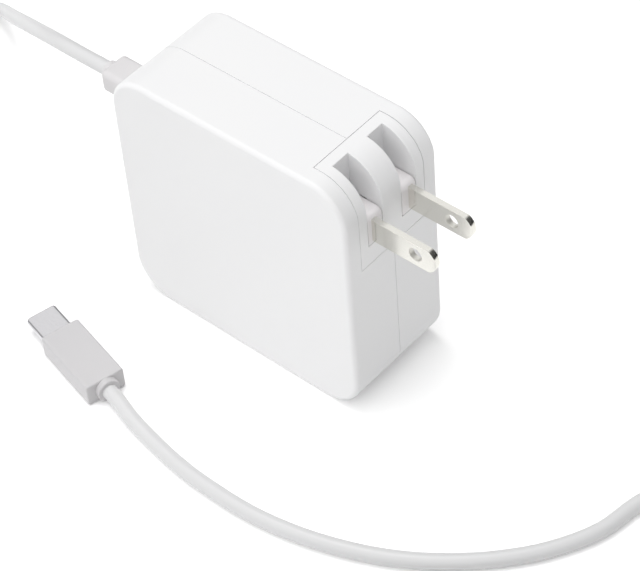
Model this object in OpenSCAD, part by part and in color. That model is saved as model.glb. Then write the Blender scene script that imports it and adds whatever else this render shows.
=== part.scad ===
// Laptop power adapter with folding two-blade mains plug and a captive USB-C cord.
// Frame: +Z up, +X towards the blades, origin at the centre of the edge that the case stands on.

/* [Case] */
// Length of the case, along the blades
case_length = 70; // [70:1:90]
// Height of the case as it stands on its edge
case_height = 70; // [70:1:90]
// Thickness of the case between its two large faces
case_thickness = 31.5; // [31.5:0.5:38]
// Radius of the four corners of the case's outline
corner_radius = 10; // [9:0.5:11]
// Radius of the edges all round both large faces
edge_radius = 1.25; // [1:0.25:4]
// Wall of the two shells
wall = 2; // [1.8:0.1:2.2]
// Width of the fine groove where the shells meet
seam_width = 0.2; // [0.1:0.05:0.4]
// Depth of that groove
seam_depth = 0.35; // [0.1:0.05:0.5]
// Thickness of the tongue that lines up the shells
tongue_thickness = 0.7; // [0.5:0.1:0.9]
// Height of the tongue
tongue_height = 1.6; // [1:0.1:2.5]

/* [Blades] */
// Distance between the middles of the two blades
blade_pitch = 12.7; // [12.7:0.1:14]
// Thickness of a blade
blade_thickness = 1.5; // [1.4:0.05:1.6]
// Width of a blade
blade_width = 6.4; // [6.2:0.1:6.7]
// How far the blades reach out of the case
blade_reach = 17.9; // [16:0.1:18.5]
// Radius of the arc that ends a blade, a little over half its width
blade_tip_radius = 3.5; // [3.4:0.1:6]
// Length of the thinned part at a blade's tip
blade_tip_bevel = 1.4; // [0.5:0.1:2]
// Thickness left at the very tip
blade_tip_thickness = 0.9; // [0.6:0.1:1.2]
// Diameter of the hole in a blade
blade_hole = 3.6; // [3:0.1:4]
// Distance from the case to the middle of that hole
blade_hole_reach = 12.2; // [11:0.1:12.5]
// Width of a blade's tang inside the rotor
tang_width = 3.6; // [3:0.1:4]

/* [Plug mechanism] */
// Distance from the end of the case back to the pivot
pivot_inset = 2; // [1.8:0.1:2.4]
// Height of the blades' middle above the pivot
blade_lift = 3.8; // [3.8:0.1:4.2]
// How far the folded tips stand proud of the case
tip_proud = 0.7; // [0.3:0.1:1.5]
// Diameter of the pivot pin
pin_diameter = 1.4; // [1.2:0.1:1.6]
// Plastic over a blade's upper edge inside the rotor
carrier_cover = 1; // [0.8:0.1:1.2]
// Plastic around the pin below the rotor
boss_wall = 0.5; // [0.4:0.05:0.6]
// Radius of the rotor's upper front edge
rotor_edge_radius = 1.6; // [0.5:0.1:2]
// Width of a slot on the outer side of its blade
slot_outer_margin = 1.3; // [1.2:0.1:1.6]
// Width of a slot on the inner side of its blade
slot_inner_margin = 2.35; // [2:0.05:2.6]
// Wall of the housing on the outer side of each slot
cheek = 2.2; // [1.8:0.1:2.6]
// Panel beyond the housing's body on each side
panel_margin = 0.55; // [0.4:0.05:0.8]
// Thickness of the detent spring
detent_thickness = 0.25; // [0.2:0.05:0.3]
// Thickness of a contact spring
contact_thickness = 0.35; // [0.3:0.05:0.5]

/* [Electronics] */
// Thickness of the circuit boards
board_thickness = 1.2; // [1:0.1:1.6]
// Thickness of the insulating sheet behind the main board
sheet_thickness = 0.3; // [0.2:0.05:0.5]
// Diameter of a mains smoothing capacitor
bulk_diameter = 10; // [8:0.5:10.5]
// Length of a mains smoothing capacitor
bulk_length = 21; // [16:0.5:22]
// Diameter of an output capacitor
output_cap_diameter = 6.5; // [5:0.1:7]
// Length of an output capacitor
output_cap_length = 16; // [11:0.5:20]
// Length of the transformer's core along the board
core_length = 19; // [18:0.5:19.5]
// Depth of the transformer's core away from the board
core_depth = 17; // [14:0.5:18]
// Outside radius of the choke's ring core
choke_radius = 6.6; // [6:0.1:6.8]
// Thickness of the aluminium heat spreader along the front shell
spreader_thickness = 0.5; // [0.3:0.1:0.8]
// Diameter of the insulated wires inside the case
wire_diameter = 1.6; // [1.2:0.1:1.7]

/* [Cord] */
// Diameter of the cord
cord_diameter = 3.8; // [3.6:0.1:4]
// Height of the cord's exit above the base
cord_exit_height = 49.5; // [47:0.5:52]
// Length of the strain relief's square block
relief_length = 16.2; // [14:0.1:18]
// Width of that block
relief_width = 8.6; // [7:0.1:9.4]
// Height of that block
relief_height = 6.4; // [6:0.1:7]
// Length of the round collar behind the block
relief_collar_length = 1.5; // [1:0.1:4]
// Diameter of that collar
relief_collar_diameter = 4.9; // [4.4:0.1:5.6]
// Number of turns in the coiled part of the cord
coil_turns = 6.125; // [6.125:1:10.125]
// Mean radius of the coil's turns
coil_mean_radius = 21.8; // [20:0.1:24]
// Space from one turn of the coil to the next, middle to middle
coil_pitch = 4.4; // [4.4:0.1:5]
// Thickness of the strap around the coil
tie_thickness = 0.7; // [0.5:0.1:1]
// Width of that strap
tie_width = 6; // [4:0.5:10]

/* [USB-C plug] */
// Length of the plug's moulded grip
grip_length = 20.5; // [19:0.1:24]
// Width of the grip
grip_width = 10.4; // [10:0.1:12]
// Height of the grip
grip_height = 6.2; // [5.8:0.1:7]
// Width of the metal shell
usb_width = 8.34; // [8.3:0.01:8.36]
// Height of the metal shell
usb_height = 2.56; // [2.5:0.01:2.6]
// How far the metal shell stands out of the grip
usb_reach = 9; // [6.65:0.05:9.4]
// Wall of the metal shell
usb_wall = 0.3; // [0.25:0.01:0.35]

/* [Fits] */
// Radial clearance of the rotor on its pin
running_gap = 0.04; // [0.02:0.01:0.08]
// Radial clearance of the pin in the housing
pin_gap = 0.02; // [0.01:0.01:0.05]
// Clearance around pieces that drop into a recess
fit_gap = 0.05; // [0.03:0.01:0.1]
// Clearance between the housing's panel and the shells
panel_gap = 0.12; // [0.05:0.01:0.2]
// Clearance on each side of the rotor in its slots
rotor_side_gap = 0.15; // [0.1:0.01:0.25]
// Clearance around the turning rotor
pocket_gap = 0.4; // [0.35:0.05:0.5]

/* [Hidden] */
$fn = 48;

// A length that reaches past anything in the case
far = 200;
// How deep a cut or a root runs into its neighbour so that they truly join
bite = 0.5;
half_length = case_length / 2;
half_thickness = case_thickness / 2;
inner_y = half_thickness - wall;
inner_x = half_length - wall;
mid_height = case_height / 2;
inner_z = mid_height - wall;

// Plug mechanism, in a frame whose origin is the pivot, x outwards and y up
pivot_drop = blade_reach + pivot_inset - tip_proud;
pivot_x = half_length - pivot_inset;
pivot_z = case_height - pivot_drop;
pin_radius = pin_diameter / 2;
blade_low = blade_lift - blade_width / 2;
blade_high = blade_lift + blade_width / 2;
blade_tip = blade_reach + pivot_inset;
rotor_top = blade_high + carrier_cover;
rotor_under = 0.05;
// The rotor's underside is raised where it swings past the inside of the end wall
rotor_heel = 0.35;
rotor_heel_start = 4.6;
rotor_radius = rotor_top + 1.3;
pocket_radius = rotor_radius + pocket_gap;
boss_radius = pin_radius + running_gap + boss_wall;
boss_pocket_radius = boss_radius + 0.25;
window_low = rotor_under + 0.35;
fold_gap = 0.1;
slot_back = blade_high + fold_gap;
slot_inner = blade_pitch / 2 - blade_thickness / 2 - slot_inner_margin;
slot_outer = blade_pitch / 2 + blade_thickness / 2 + slot_outer_margin;
body_half = slot_outer + cheek;
panel_half = body_half + panel_margin;
pin_half = body_half - 0.2;
// Housing's panel: how far it runs back along the top and down the end
panel_back = corner_radius + 2;
panel_drop = pivot_drop + window_low + 5.4;
panel_lip = pivot_inset - 0.6;
// Rotor's bar behind the housing's fin
bar_front = 3.4;
bar_low = 0.5;
bar_high = rotor_top - 0.4;
fin_back = bar_front - 0.8;
fin_foot_radius = pivot_inset;
// Blade's tang and the contact that it meets
tang_front = 0.8;
tang_low = blade_lift - tang_width / 2;
tang_high = blade_lift + tang_width / 2;
tail_radius = rotor_radius + 1.5;
tail_back = sqrt(tail_radius * tail_radius - tang_high * tang_high);
tail_pocket_radius = tail_radius + pocket_gap;
tail_pocket_top = tang_high + 0.7;
housing_wall = 1;
housing_radius = tail_pocket_radius + housing_wall;
contact_inner = blade_pitch / 2 + blade_thickness / 2 + fit_gap;
contact_outer = contact_inner + contact_thickness;
contact_back = housing_radius + 2.3;
contact_low = tang_low + 1.4;
contact_high = tang_high + 0.4;
tail_band_inner = blade_pitch / 2 - blade_thickness / 2 - 0.3;
tail_band_outer = contact_outer + 0.4;
// Detent spring
detent_inner = rotor_radius + pocket_gap - detent_thickness - 0.03;
detent_half = 2.2;
detent_angles = [137, 227];
detent_span = [125, 240];
bump_radius = 0.45;
bump_reach = rotor_radius + 0.05;
dimple_radius = 0.6;
detent_tab_angle = 182;
detent_tab_length = 1.2;
// Flanges that hold the housing in the shells
flange_half = body_half + 1.8;
flange_thickness = 1.2;
ledge_thickness = 1.6;
ledge_inner = body_half + 1;
ledge_overhang = 1.6;
ledge_rise = 5;
// Foot of the housing that rests on the main board
rest_inset = 5;
rest_length = 4;
rest_drop = 8;
rest_height = 6;

// Boards
board_back = inner_y - 0.95;
board_face = board_back - board_thickness;
board_margin = 1.5;
board_length = case_length - 2 * wall - 2 * board_margin;
board_height = case_height - 2 * wall - 2 * board_margin;
board_corner = corner_radius - wall - 1;
sheet_back = board_back + sheet_thickness;
post_radius = 2;
post_inset = 5;
post_x = board_length / 2 - post_inset;
post_z = board_height / 2 - post_inset;
post_places = [[-1, -1], [1, -1], [-1, 1]];
lead_pin_radius = 0.35;
pin_hole_gap = 0.1;

// Places on the main board, each given by its distance from two inside walls of the case, so that a
// component keeps to its corner: [x, z] from the middle of the case
function at_left_base(offset) = [offset.x - inner_x, offset.y - inner_z];
function at_right_base(offset) = [inner_x - offset.x, offset.y - inner_z];
function at_left_top(offset) = [offset.x - inner_x, inner_z - offset.y];
function at_right_top(offset) = [inner_x - offset.x, inner_z - offset.y];

// Sizes of blocks are along X, away from the board, and along Z
bulk_offsets = [[14, 7], [25, 7], [6.6, 18.5]];
bulk_places = [for (offset = bulk_offsets) at_right_base(offset)];
bulk_pin_reach = 2.5;
output_cap_offsets = [[4.8, 12], [4.8, 19.3], [4.8, 26.6], [12.1, 26.6]];
output_cap_places = [for (offset = output_cap_offsets) at_left_base(offset)];
output_cap_pin_reach = 1.25;
bridge_offset = [21, 17.5];
bridge_place = at_right_base(bridge_offset);
bridge_size = [14, 10, 3];
bridge_lift = 1;
bridge_pin_pitch = 3;
sink_offset = [24, 25.5];
sink_place = at_right_base(sink_offset);
sink_size = [16, 19, 1.5];
switch_size = [10, 9, 4.2];
switch_lift = 4;
switch_pin_pitch = 2.54;
x_cap_offset = [22.5, 32];
x_cap_place = at_right_base(x_cap_offset);
x_cap_size = [13, 12, 7];
x_cap_pin_reach = 5;
varistor_offset = [25, 17];
varistor_place = at_right_top(varistor_offset);
varistor_radius = 5;
varistor_thickness = 3.6;
disc_lift = 1;
disc_pin_reach = 2.5;
fuse_offset = [20, 6];
fuse_place = at_right_top(fuse_offset);
fuse_radius = 4.2;
fuse_length = 8;
fuse_pin_reach = 2.5;
choke_offset = [33, 11];
choke_place = at_right_top(choke_offset);
choke_hole_radius = 3.4;
choke_thickness = 5;
choke_cover = 1.2;
choke_base_size = [12, 1, 13];
choke_pin_reach = [4.5, 5];
// Each of the choke's two windings covers this much of the ring, from these angles
choke_winding_arc = 126;
choke_winding_starts = [27, 207];
core_offset = [18.5, 11];
core_place = at_left_base(core_offset);
core_height = 18;
core_leg = 3.5;
core_post_radius = 3.6;
core_base = 2.4;
bobbin_wall = 0.8;
bobbin_rail = 2;
bobbin_pin_reach = [6, 5];
winding_radius = 5.8;
y_cap_offset = [24.5, 26];
y_cap_place = at_left_base(y_cap_offset);
y_cap_radius = 4;
y_cap_thickness = 3.2;
opto_offset = [19, 26];
opto_place = at_left_base(opto_offset);
opto_size = [4.6, 3.6, 4.4];
control_offset = [12, 12.5];
control_place = at_left_top(control_offset);
control_size = [14, 14, 1];
control_chip_size = [5, 5, 1];
control_chip_lift = 4;
rectifier_offset = [12, 19];
rectifier_place = at_left_top(rectifier_offset);
rectifier_size = [6, 1, 5];
output_sink_size = [12, 0.6, 6];
output_choke_offset = [13.5, 5.5];
output_choke_place = at_left_top(output_choke_offset);
output_choke_radius = 4;
output_choke_length = 8;
output_choke_pin_reach = 2;
// Heat spreader: its distance from the post beside it, from the panel, and from the base and the top
spreader_post_gap = 1.5;
spreader_panel_gap = 4;
spreader_margin = 8;
pad_margin = 2;

// Strain relief
relief_corner = 1.6;
relief_edge = 0.8;
neck_width = 5.2;
neck_height = 4.6;
inner_flange_width = 8;
inner_flange_height = 7;
inner_flange_thickness = 1.5;
wire_radius = wire_diameter / 2;
output_wire_radius = wire_radius * 0.8;
output_wire_spread = 1.8;
wire_bend = 1.6;

// Cord. The stretches' points are chosen by hand; the coil's follow a formula.
cord_radius = cord_diameter / 2;
cord_sides = 8;
coil_sides = 6;
coil_rings_per_turn = 24;
coil_centre = [-84, -64];
coil_start_angle = 210;
coil_lift = tie_thickness + 0.2;
coil_low = cord_radius + coil_lift;
coil_outer = coil_mean_radius + coil_turns * coil_pitch / 4;
coil_inner = coil_outer - coil_turns * coil_pitch / 2;
// Length of the straight step at each end of the coil
coil_end_step = 0.1;
tie_angle = 60;
tie_gap = 0.3;
// The strap lies a little looser on the coil's inner side and just under its lowest turns
tie_inner_gap = 0.7;
tie_under = 0.1;
tie_corner = 1.6;
lead_start = [-half_length - relief_length - relief_collar_length, 0, cord_exit_height];
lead_route = [
    [-61.1, 0.3, 49], [-68, 1, 48.1], [-76, 2.9, 45.5], [-85.1, 6.2, 40.9], [-94.3, 10.4, 35.1],
    [-103.2, 15.2, 28.4], [-112.2, 20.4, 21.3], [-120.8, 25.7, 14.1], [-127.4, 29.8, 8.6],
    [-133.8, 32.1, 4.6], [-140.7, 31.5, 2.4], [-146.7, 28.3, 1.9], [-150.9, 22.9, 1.9],
    [-152.5, 16.2, 1.9], [-151.5, 10.1, 1.9], [-146.8, -0, 1.9], [-142.1, -10.1, 1.9],
    [-137.4, -20.2, 1.9], [-132.7, -30.3, 1.9], [-128, -40.4, 2], [-123.3, -50.5, 2.1],
    [-118.6, -60.6, 2.5]];
front_route = [
    [-76, -95.6, 6.2], [-64, -98.1, 4.2], [-50, -100.8, 2.4], [-36, -103.3, 1.9],
    [-22, -105.2, 1.9], [-8, -105.2, 1.9], [5, -102, 1.9], [17, -95.6, 1.9], [29, -87.8, 1.9],
    [41, -79.1, 1.9], [53, -70, 1.9], [65, -60.7, 1.9], [77, -51.2, 1.9], [89, -41.8, 1.9],
    [101, -32.4, 1.9], [114, -22.9, 1.9], [127, -14, 1.9], [131.3, -8.9, 1.9], [133.1, -2.4, 1.9],
    [132, 4.1, 1.9], [128.3, 9.7, 1.9], [122.6, 13.2, 1.9], [116, 14, 1.9], [109.6, 12, 1.9],
    [104.7, 7.6, 1.9], [102, 1.4, 1.9], [99.8, -9.9, 1.9], [94.2, -20.8, 1.9], [87.1, -29.5, 1.9],
    [78.9, -36.9, 1.9], [69.8, -43.1, 1.9], [59.5, -48, 1.9], [48, -51.7, 1.9], [35, -53.9, 1.9],
    [20, -54.1, 1.9], [11.6, -53.4, 1.9], [2.2, -51.8, 1.9], [-5, -50.4, 2.5]];

// USB-C plug, laid on the surface with its tip turned this far from +X
plug_place = [-16, -47.4];
plug_turn = 166;
plug_middle = grip_height / 2;
plug_collar_length = 1.5;
plug_collar_radius = 3;
grip_corner = 0.7;
grip_edge = 0.4;
usb_root = 5;
usb_insulator_short = 0.8;
usb_slot = [6.69, 0.9];
contact_pitch = 0.5;
contact_strip = [5.2, 0.26, 0.12];
usb_board_size = [9, 8, 0.8];

// Rounded rectangle in the plane, centred
module rounded_rect(size, radius) {
    square([size.x - 2 * radius, size.y], center = true);
    square([size.x, size.y - 2 * radius], center = true);
    for (sx = [-1, 1], sy = [-1, 1])
        translate([sx * (size.x / 2 - radius), sy * (size.y / 2 - radius)])
            circle(radius);
}

// Block whose outline has round corners and whose two large faces have round edges; depth along Z
module rounded_block(size, corner, edge) {
    for (sx = [-1, 1], sy = [-1, 1])
        translate([sx * (size.x / 2 - corner), sy * (size.y / 2 - corner), 0])
            rotate_extrude()
                intersection() {
                    rounded_rect([2 * corner, size.z], edge);
                    translate([0, -size.z])
                        square([2 * corner, 2 * size.z]);
                }
    rotate([90, 0, 0])
        linear_extrude(size.y - 2 * corner, center = true)
            rounded_rect([size.x, size.z], edge);
    rotate([0, 90, 0])
        linear_extrude(size.x - 2 * corner, center = true)
            rounded_rect([size.z, size.y], edge);
}

// The case's outer form, or the same drawn in by a distance
module case_block(inset) {
    translate([0, 0, mid_height])
        rotate([90, 0, 0])
            rounded_block([case_length - 2 * inset, case_height - 2 * inset, case_thickness - 2 * inset],
                corner_radius - inset, max(edge_radius - inset, 0.5));
}

// A loop that follows the case's outline, between two insets and two depths
module outline_loop(outer_inset, inner_inset, low_y, high_y) {
    translate([0, high_y, mid_height])
        rotate([90, 0, 0])
            linear_extrude(high_y - low_y)
                difference() {
                    rounded_rect([case_length - 2 * outer_inset, case_height - 2 * outer_inset],
                        corner_radius - outer_inset);
                    rounded_rect([case_length - 2 * inner_inset, case_height - 2 * inner_inset],
                        corner_radius - inner_inset);
                }
}

// A box from one corner to the opposite one
module box(low, high) {
    translate(low)
        cube(high - low);
}

// Flat shape in the pivot's frame, drawn out to both sides of the middle
module middle_band(half) {
    translate([pivot_x, 0, pivot_z])
        rotate([90, 0, 0])
            linear_extrude(2 * half, center = true)
                children();
}

// The same, between two distances from the middle
module side_band(inner, outer, sides = [-1, 1]) {
    for (side = sides)
        translate([pivot_x, side * (inner + outer) / 2, pivot_z])
            rotate([90, 0, 0])
                linear_extrude(outer - inner, center = true)
                    children();
}

// The case's outline in the pivot's frame
module outline_2d(inset) {
    translate([-pivot_x, mid_height - pivot_z])
        rounded_rect([case_length - 2 * inset, case_height - 2 * inset], corner_radius - inset);
}

// Opening in the shells for the housing's panel
module panel_opening() {
    box([half_length - panel_back - panel_gap, -panel_half - panel_gap, case_height - panel_drop - panel_gap],
        [half_length + far, panel_half + panel_gap, case_height + far]);
}

// Ledges inside the shells behind the housing's flanges
module housing_ledges(grow) {
    ledge_high = case_height - wall - flange_thickness;
    ledge_right = inner_x - flange_thickness;
    ledge_left = half_length - panel_back - ledge_overhang;
    ledge_low = case_height - panel_drop - ledge_overhang;
    for (side = [-1, 1]) {
        near = side * (ledge_inner - grow);
        deep = side * (inner_y + bite);
        box([ledge_left - grow, min(near, deep), ledge_high - ledge_thickness - grow],
            [half_length - corner_radius + grow, max(near, deep), ledge_high + grow]);
        box([ledge_right - ledge_thickness - grow, min(near, deep), ledge_low - grow],
            [ledge_right + grow, max(near, deep), case_height - panel_drop + ledge_rise + grow]);
    }
}

// Opening in the shells for the strain relief's neck
module neck_opening() {
    box([-half_length - 1, -neck_width / 2 - fit_gap, cord_exit_height - neck_height / 2 - fit_gap],
        [-inner_x + 1, neck_width / 2 + fit_gap, cord_exit_height + neck_height / 2 + fit_gap]);
}

// Wall of one half of the case; side is -1 for the front and 1 for the back
module shell_wall(side) {
    difference() {
        intersection() {
            difference() {
                case_block(0);
                case_block(wall);
            }
            translate([0, side * far / 2, mid_height])
                cube([far, far, far], center = true);
        }
        panel_opening();
        neck_opening();
        outline_loop(-1, seam_depth, -seam_width / 2, seam_width / 2);
    }
}

// Half of the ledges, cut to one side
module shell_ledges(side) {
    intersection() {
        housing_ledges(0);
        translate([0, side * far / 2, mid_height])
            cube([far, far, far], center = true);
    }
}

tongue_outer = (wall - tongue_thickness) / 2;
tongue_inner = tongue_outer + tongue_thickness;

module front_shell() {
    color("white")
    difference() {
        union() {
            shell_wall(-1);
            shell_ledges(-1);
            for (place = post_places)
                translate([place.x * post_x, board_face, mid_height + place.y * post_z])
                    rotate([90, 0, 0])
                        cylinder(r = post_radius, h = board_face + inner_y + bite);
        }
        outline_loop(tongue_outer - fit_gap, tongue_inner + fit_gap, -tongue_height - 2 * fit_gap, 1);
    }
}

module back_shell() {
    color("white") {
        shell_wall(1);
        shell_ledges(1);
        difference() {
            outline_loop(tongue_outer, tongue_inner, -tongue_height, bite);
            panel_opening();
            neck_opening();
        }
        for (place = post_places)
            translate([place.x * post_x, inner_y + bite, mid_height + place.y * post_z])
                rotate([90, 0, 0])
                    cylinder(r = post_radius, h = inner_y + bite - sheet_back);
    }
}

// Side view of the housing's body behind the panel
module housing_body_2d() {
    intersection() {
        union() {
            intersection() {
                circle(housing_radius);
                translate([-far, -far])
                    square([far + pivot_inset - wall, 2 * far]);
            }
            translate([-slot_back - wall, 0])
                square([slot_back + wall + bite, case_height - pivot_z - wall + bite]);
        }
        outline_2d(wall / 2);
    }
}

// Side view of the visible panel, as thick as the shells
module housing_panel_2d() {
    intersection() {
        difference() {
            outline_2d(0);
            outline_2d(wall);
        }
        translate([pivot_inset - panel_back, pivot_drop - panel_drop])
            square([far, far]);
    }
}

// Side view of the space that one slot and its carrier need
module slot_2d() {
    intersection() {
        circle(pocket_radius);
        translate([-far, -far])
            square([far + pivot_inset - panel_lip, 2 * far]);
    }
    translate([-slot_back, -window_low])
        square([far, far]);
    circle(boss_pocket_radius);
}

// Side view of the space that the rotor's bar needs behind the fin
module bar_pocket_2d() {
    difference() {
        circle(pocket_radius);
        translate([-fin_back, -window_low])
            square([far, far]);
        circle(fin_foot_radius);
        translate([pivot_inset - panel_lip, -far])
            square([far, 2 * far]);
        translate([-far, rotor_top])
            square([2 * far, far]);
    }
}

// Side view of the space that the blades' tails need
module tail_pocket_2d() {
    intersection() {
        circle(tail_pocket_radius);
        translate([-far, -far])
            square([far + pivot_inset - panel_lip, far + tail_pocket_top]);
    }
}

// Side view of a contact spring, or of the slot that it sits in
module contact_2d(grow) {
    difference() {
        translate([-contact_back, contact_low - grow])
            square([contact_back - slot_back, contact_high - contact_low + 2 * grow]);
        circle(pocket_radius - fit_gap);
    }
}

// Side view of the tab that holds the detent spring, or of its slot
module detent_tab_2d(grow) {
    rotate(detent_tab_angle)
        translate([pocket_radius - detent_thickness, -detent_thickness / 2 - grow])
            square([detent_thickness + detent_tab_length + grow, detent_thickness + 2 * grow]);
}

module plug_housing() {
    flange_top = case_height - wall;
    rest_top = case_height - rest_drop;
    color("white")
    difference() {
        union() {
            middle_band(panel_half)
                housing_panel_2d();
            middle_band(body_half)
                housing_body_2d();
            box([half_length - panel_back - ledge_overhang, -flange_half, flange_top - flange_thickness],
                [half_length - corner_radius, flange_half, flange_top]);
            box([inner_x - flange_thickness, -flange_half, case_height - panel_drop - ledge_overhang],
                [inner_x, flange_half, case_height - corner_radius]);
            box([half_length - rest_inset - rest_length, body_half - bite, rest_top - rest_height],
                [half_length - rest_inset, board_face, rest_top]);
        }
        side_band(slot_inner, slot_outer)
            slot_2d();
        middle_band(slot_inner)
            bar_pocket_2d();
        side_band(tail_band_inner, tail_band_outer)
            tail_pocket_2d();
        side_band(contact_inner - fit_gap, contact_outer + fit_gap)
            contact_2d(fit_gap);
        middle_band(detent_half + fit_gap)
            detent_tab_2d(fit_gap);
        middle_band(far / 2)
            circle(pin_radius + pin_gap);
    }
}

// Side view of a carrier
module carrier_2d() {
    intersection() {
        circle(rotor_radius);
        union() {
            translate([-rotor_radius, rotor_heel])
                square([rotor_radius + pivot_inset - rotor_edge_radius, rotor_top - rotor_heel]);
            translate([-rotor_heel_start, -rotor_under])
                square([rotor_heel_start + pivot_inset, rotor_top + rotor_under - rotor_edge_radius]);
            translate([pivot_inset - rotor_edge_radius, rotor_top - rotor_edge_radius])
                circle(rotor_edge_radius);
        }
    }
    circle(boss_radius);
}

// Side view of the bar that joins the carriers
module bar_2d() {
    intersection() {
        circle(rotor_radius);
        translate([-far, bar_low])
            square([far - bar_front, bar_high - bar_low]);
    }
}

module prong_rotor() {
    color("whitesmoke")
    difference() {
        union() {
            side_band(slot_inner + rotor_side_gap, slot_outer - rotor_side_gap)
                carrier_2d();
            middle_band(slot_inner + 2 * rotor_side_gap)
                bar_2d();
        }
        middle_band(far / 2)
            circle(pin_radius + running_gap);
        side_band(blade_pitch / 2 - blade_thickness / 2, blade_pitch / 2 + blade_thickness / 2)
            blade_outline_2d();
        middle_band(detent_half + rotor_side_gap)
            rotate(detent_angles[0])
                translate([rotor_radius + bump_radius / 2, 0])
                    circle(dimple_radius);
    }
}

module prong_shaft() {
    color("silver")
    translate([pivot_x, 0, pivot_z])
        rotate([90, 0, 0])
            cylinder(r = pin_radius, h = 2 * pin_half, center = true);
}

// Side view of a blade without its hole
module blade_outline_2d() {
    arc_middle = blade_tip - blade_tip_radius;
    translate([tang_front, blade_low])
        square([arc_middle - tang_front, blade_width]);
    intersection() {
        translate([arc_middle, blade_lift])
            circle(blade_tip_radius);
        translate([tang_front, blade_low])
            square([blade_tip - tang_front, blade_width]);
    }
    translate([-tail_back, tang_low])
        square([tail_back + tang_front + bite, tang_width]);
}

module prong_blade(side) {
    tip = half_length + blade_reach;
    bevel_start = tip - blade_tip_bevel;
    half = blade_thickness / 2;
    tip_half = blade_tip_thickness / 2;
    color("ivory")
    intersection() {
        side_band(blade_pitch / 2 - half, blade_pitch / 2 + half, [side])
            difference() {
                blade_outline_2d();
                translate([pivot_inset + blade_hole_reach, blade_lift])
                    circle(d = blade_hole);
            }
        translate([0, side * blade_pitch / 2, 0])
            linear_extrude(case_height)
                polygon([[0, -half], [bevel_start, -half], [tip, -tip_half], [tip, tip_half],
                    [bevel_start, half], [0, half]]);
    }
}

module prong_blade_left() {
    prong_blade(-1);
}

module prong_blade_right() {
    prong_blade(1);
}

module contact_spring(side) {
    color("goldenrod")
    side_band(contact_inner, contact_outer, [side])
        contact_2d(0);
}

module contact_spring_left() {
    contact_spring(-1);
}

module contact_spring_right() {
    contact_spring(1);
}

module detent_spring() {
    arc = detent_span[1] - detent_span[0];
    color("silver") {
        translate([pivot_x, 0, pivot_z])
            rotate([90, 0, 0])
                rotate(detent_span[0])
                    rotate_extrude(angle = arc)
                        translate([detent_inner, -detent_half])
                            square([detent_thickness, 2 * detent_half]);
        middle_band(detent_half)
            for (angle = detent_angles)
                rotate(angle)
                    intersection() {
                        translate([bump_reach + bump_radius, 0])
                            circle(bump_radius);
                        translate([bump_reach - 1, -1])
                            square([detent_inner - bump_reach + 1 + detent_thickness / 2, 2]);
                    }
        middle_band(detent_half)
            detent_tab_2d(0);
    }
}

// Insulated wire that leaves along -X, bends to +Y and ends in the main board
module bent_wire(start, radius, straight) {
    corner = start - [straight, 0, 0];
    translate(start)
        rotate([0, -90, 0])
            cylinder(r = radius, h = straight);
    translate(corner + [0, wire_bend, 0])
        rotate([0, 0, 180])
            rotate_extrude(angle = 90)
                translate([wire_bend, 0])
                    circle(radius);
    translate(corner + [-wire_bend, wire_bend, 0])
        rotate([-90, 0, 0])
            cylinder(r = radius, h = board_face - start.y - wire_bend);
    translate(corner + [-wire_bend, board_face - start.y - bite, 0])
        rotate([-90, 0, 0])
            cylinder(r = lead_pin_radius, h = board_thickness + bite);
}

mains_lead_start_x = pivot_x - contact_back;
mains_lead_z = pivot_z + (contact_low + contact_high) / 2;
mains_lead_straight = [4.3, 0.4];

// Where each wire's bare end goes through the board: [x, z]
function bent_wire_hole(start_x, straight, z) = [start_x - straight - wire_bend, z];

module mains_lead(side, straight) {
    color("white")
    bent_wire([mains_lead_start_x, side * (contact_inner + contact_thickness / 2), mains_lead_z],
        wire_radius, straight);
}

module mains_lead_left() {
    mains_lead(-1, mains_lead_straight[0]);
}

module mains_lead_right() {
    mains_lead(1, mains_lead_straight[1]);
}

output_lead_start_x = -inner_x + inner_flange_thickness;
output_lead_straight = 0.6;

// Wires point along +X here, so the path is the mirror of a mains lead's
module output_leads() {
    color("firebrick")
    for (level = [-1, 1])
        mirror([1, 0, 0])
            bent_wire([-output_lead_start_x, 0, cord_exit_height + level * output_wire_spread],
                output_wire_radius, output_lead_straight);
}

// Every hole in the main board: [x, z]
wire_holes = [
    bent_wire_hole(mains_lead_start_x, mains_lead_straight[0], mains_lead_z),
    bent_wire_hole(mains_lead_start_x, mains_lead_straight[1], mains_lead_z),
    -bent_wire_hole(-output_lead_start_x, output_lead_straight, -cord_exit_height + output_wire_spread),
    -bent_wire_hole(-output_lead_start_x, output_lead_straight, -cord_exit_height - output_wire_spread)];

// Two pins side by side, or one above the other, or four at the corners of a rectangle
function pin_pair(place, reach) = [for (s = [-1, 1]) [place.x + s * reach, mid_height + place.y]];
function pin_stack(place, reach) = [for (s = [-1, 1]) [place.x, mid_height + place.y + s * reach]];
function pin_grid(place, reach, rows) = [for (sx = [-1, 1], sz = rows)
    [place.x + sx * reach.x, mid_height + place.y + sz * reach.y]];

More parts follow.
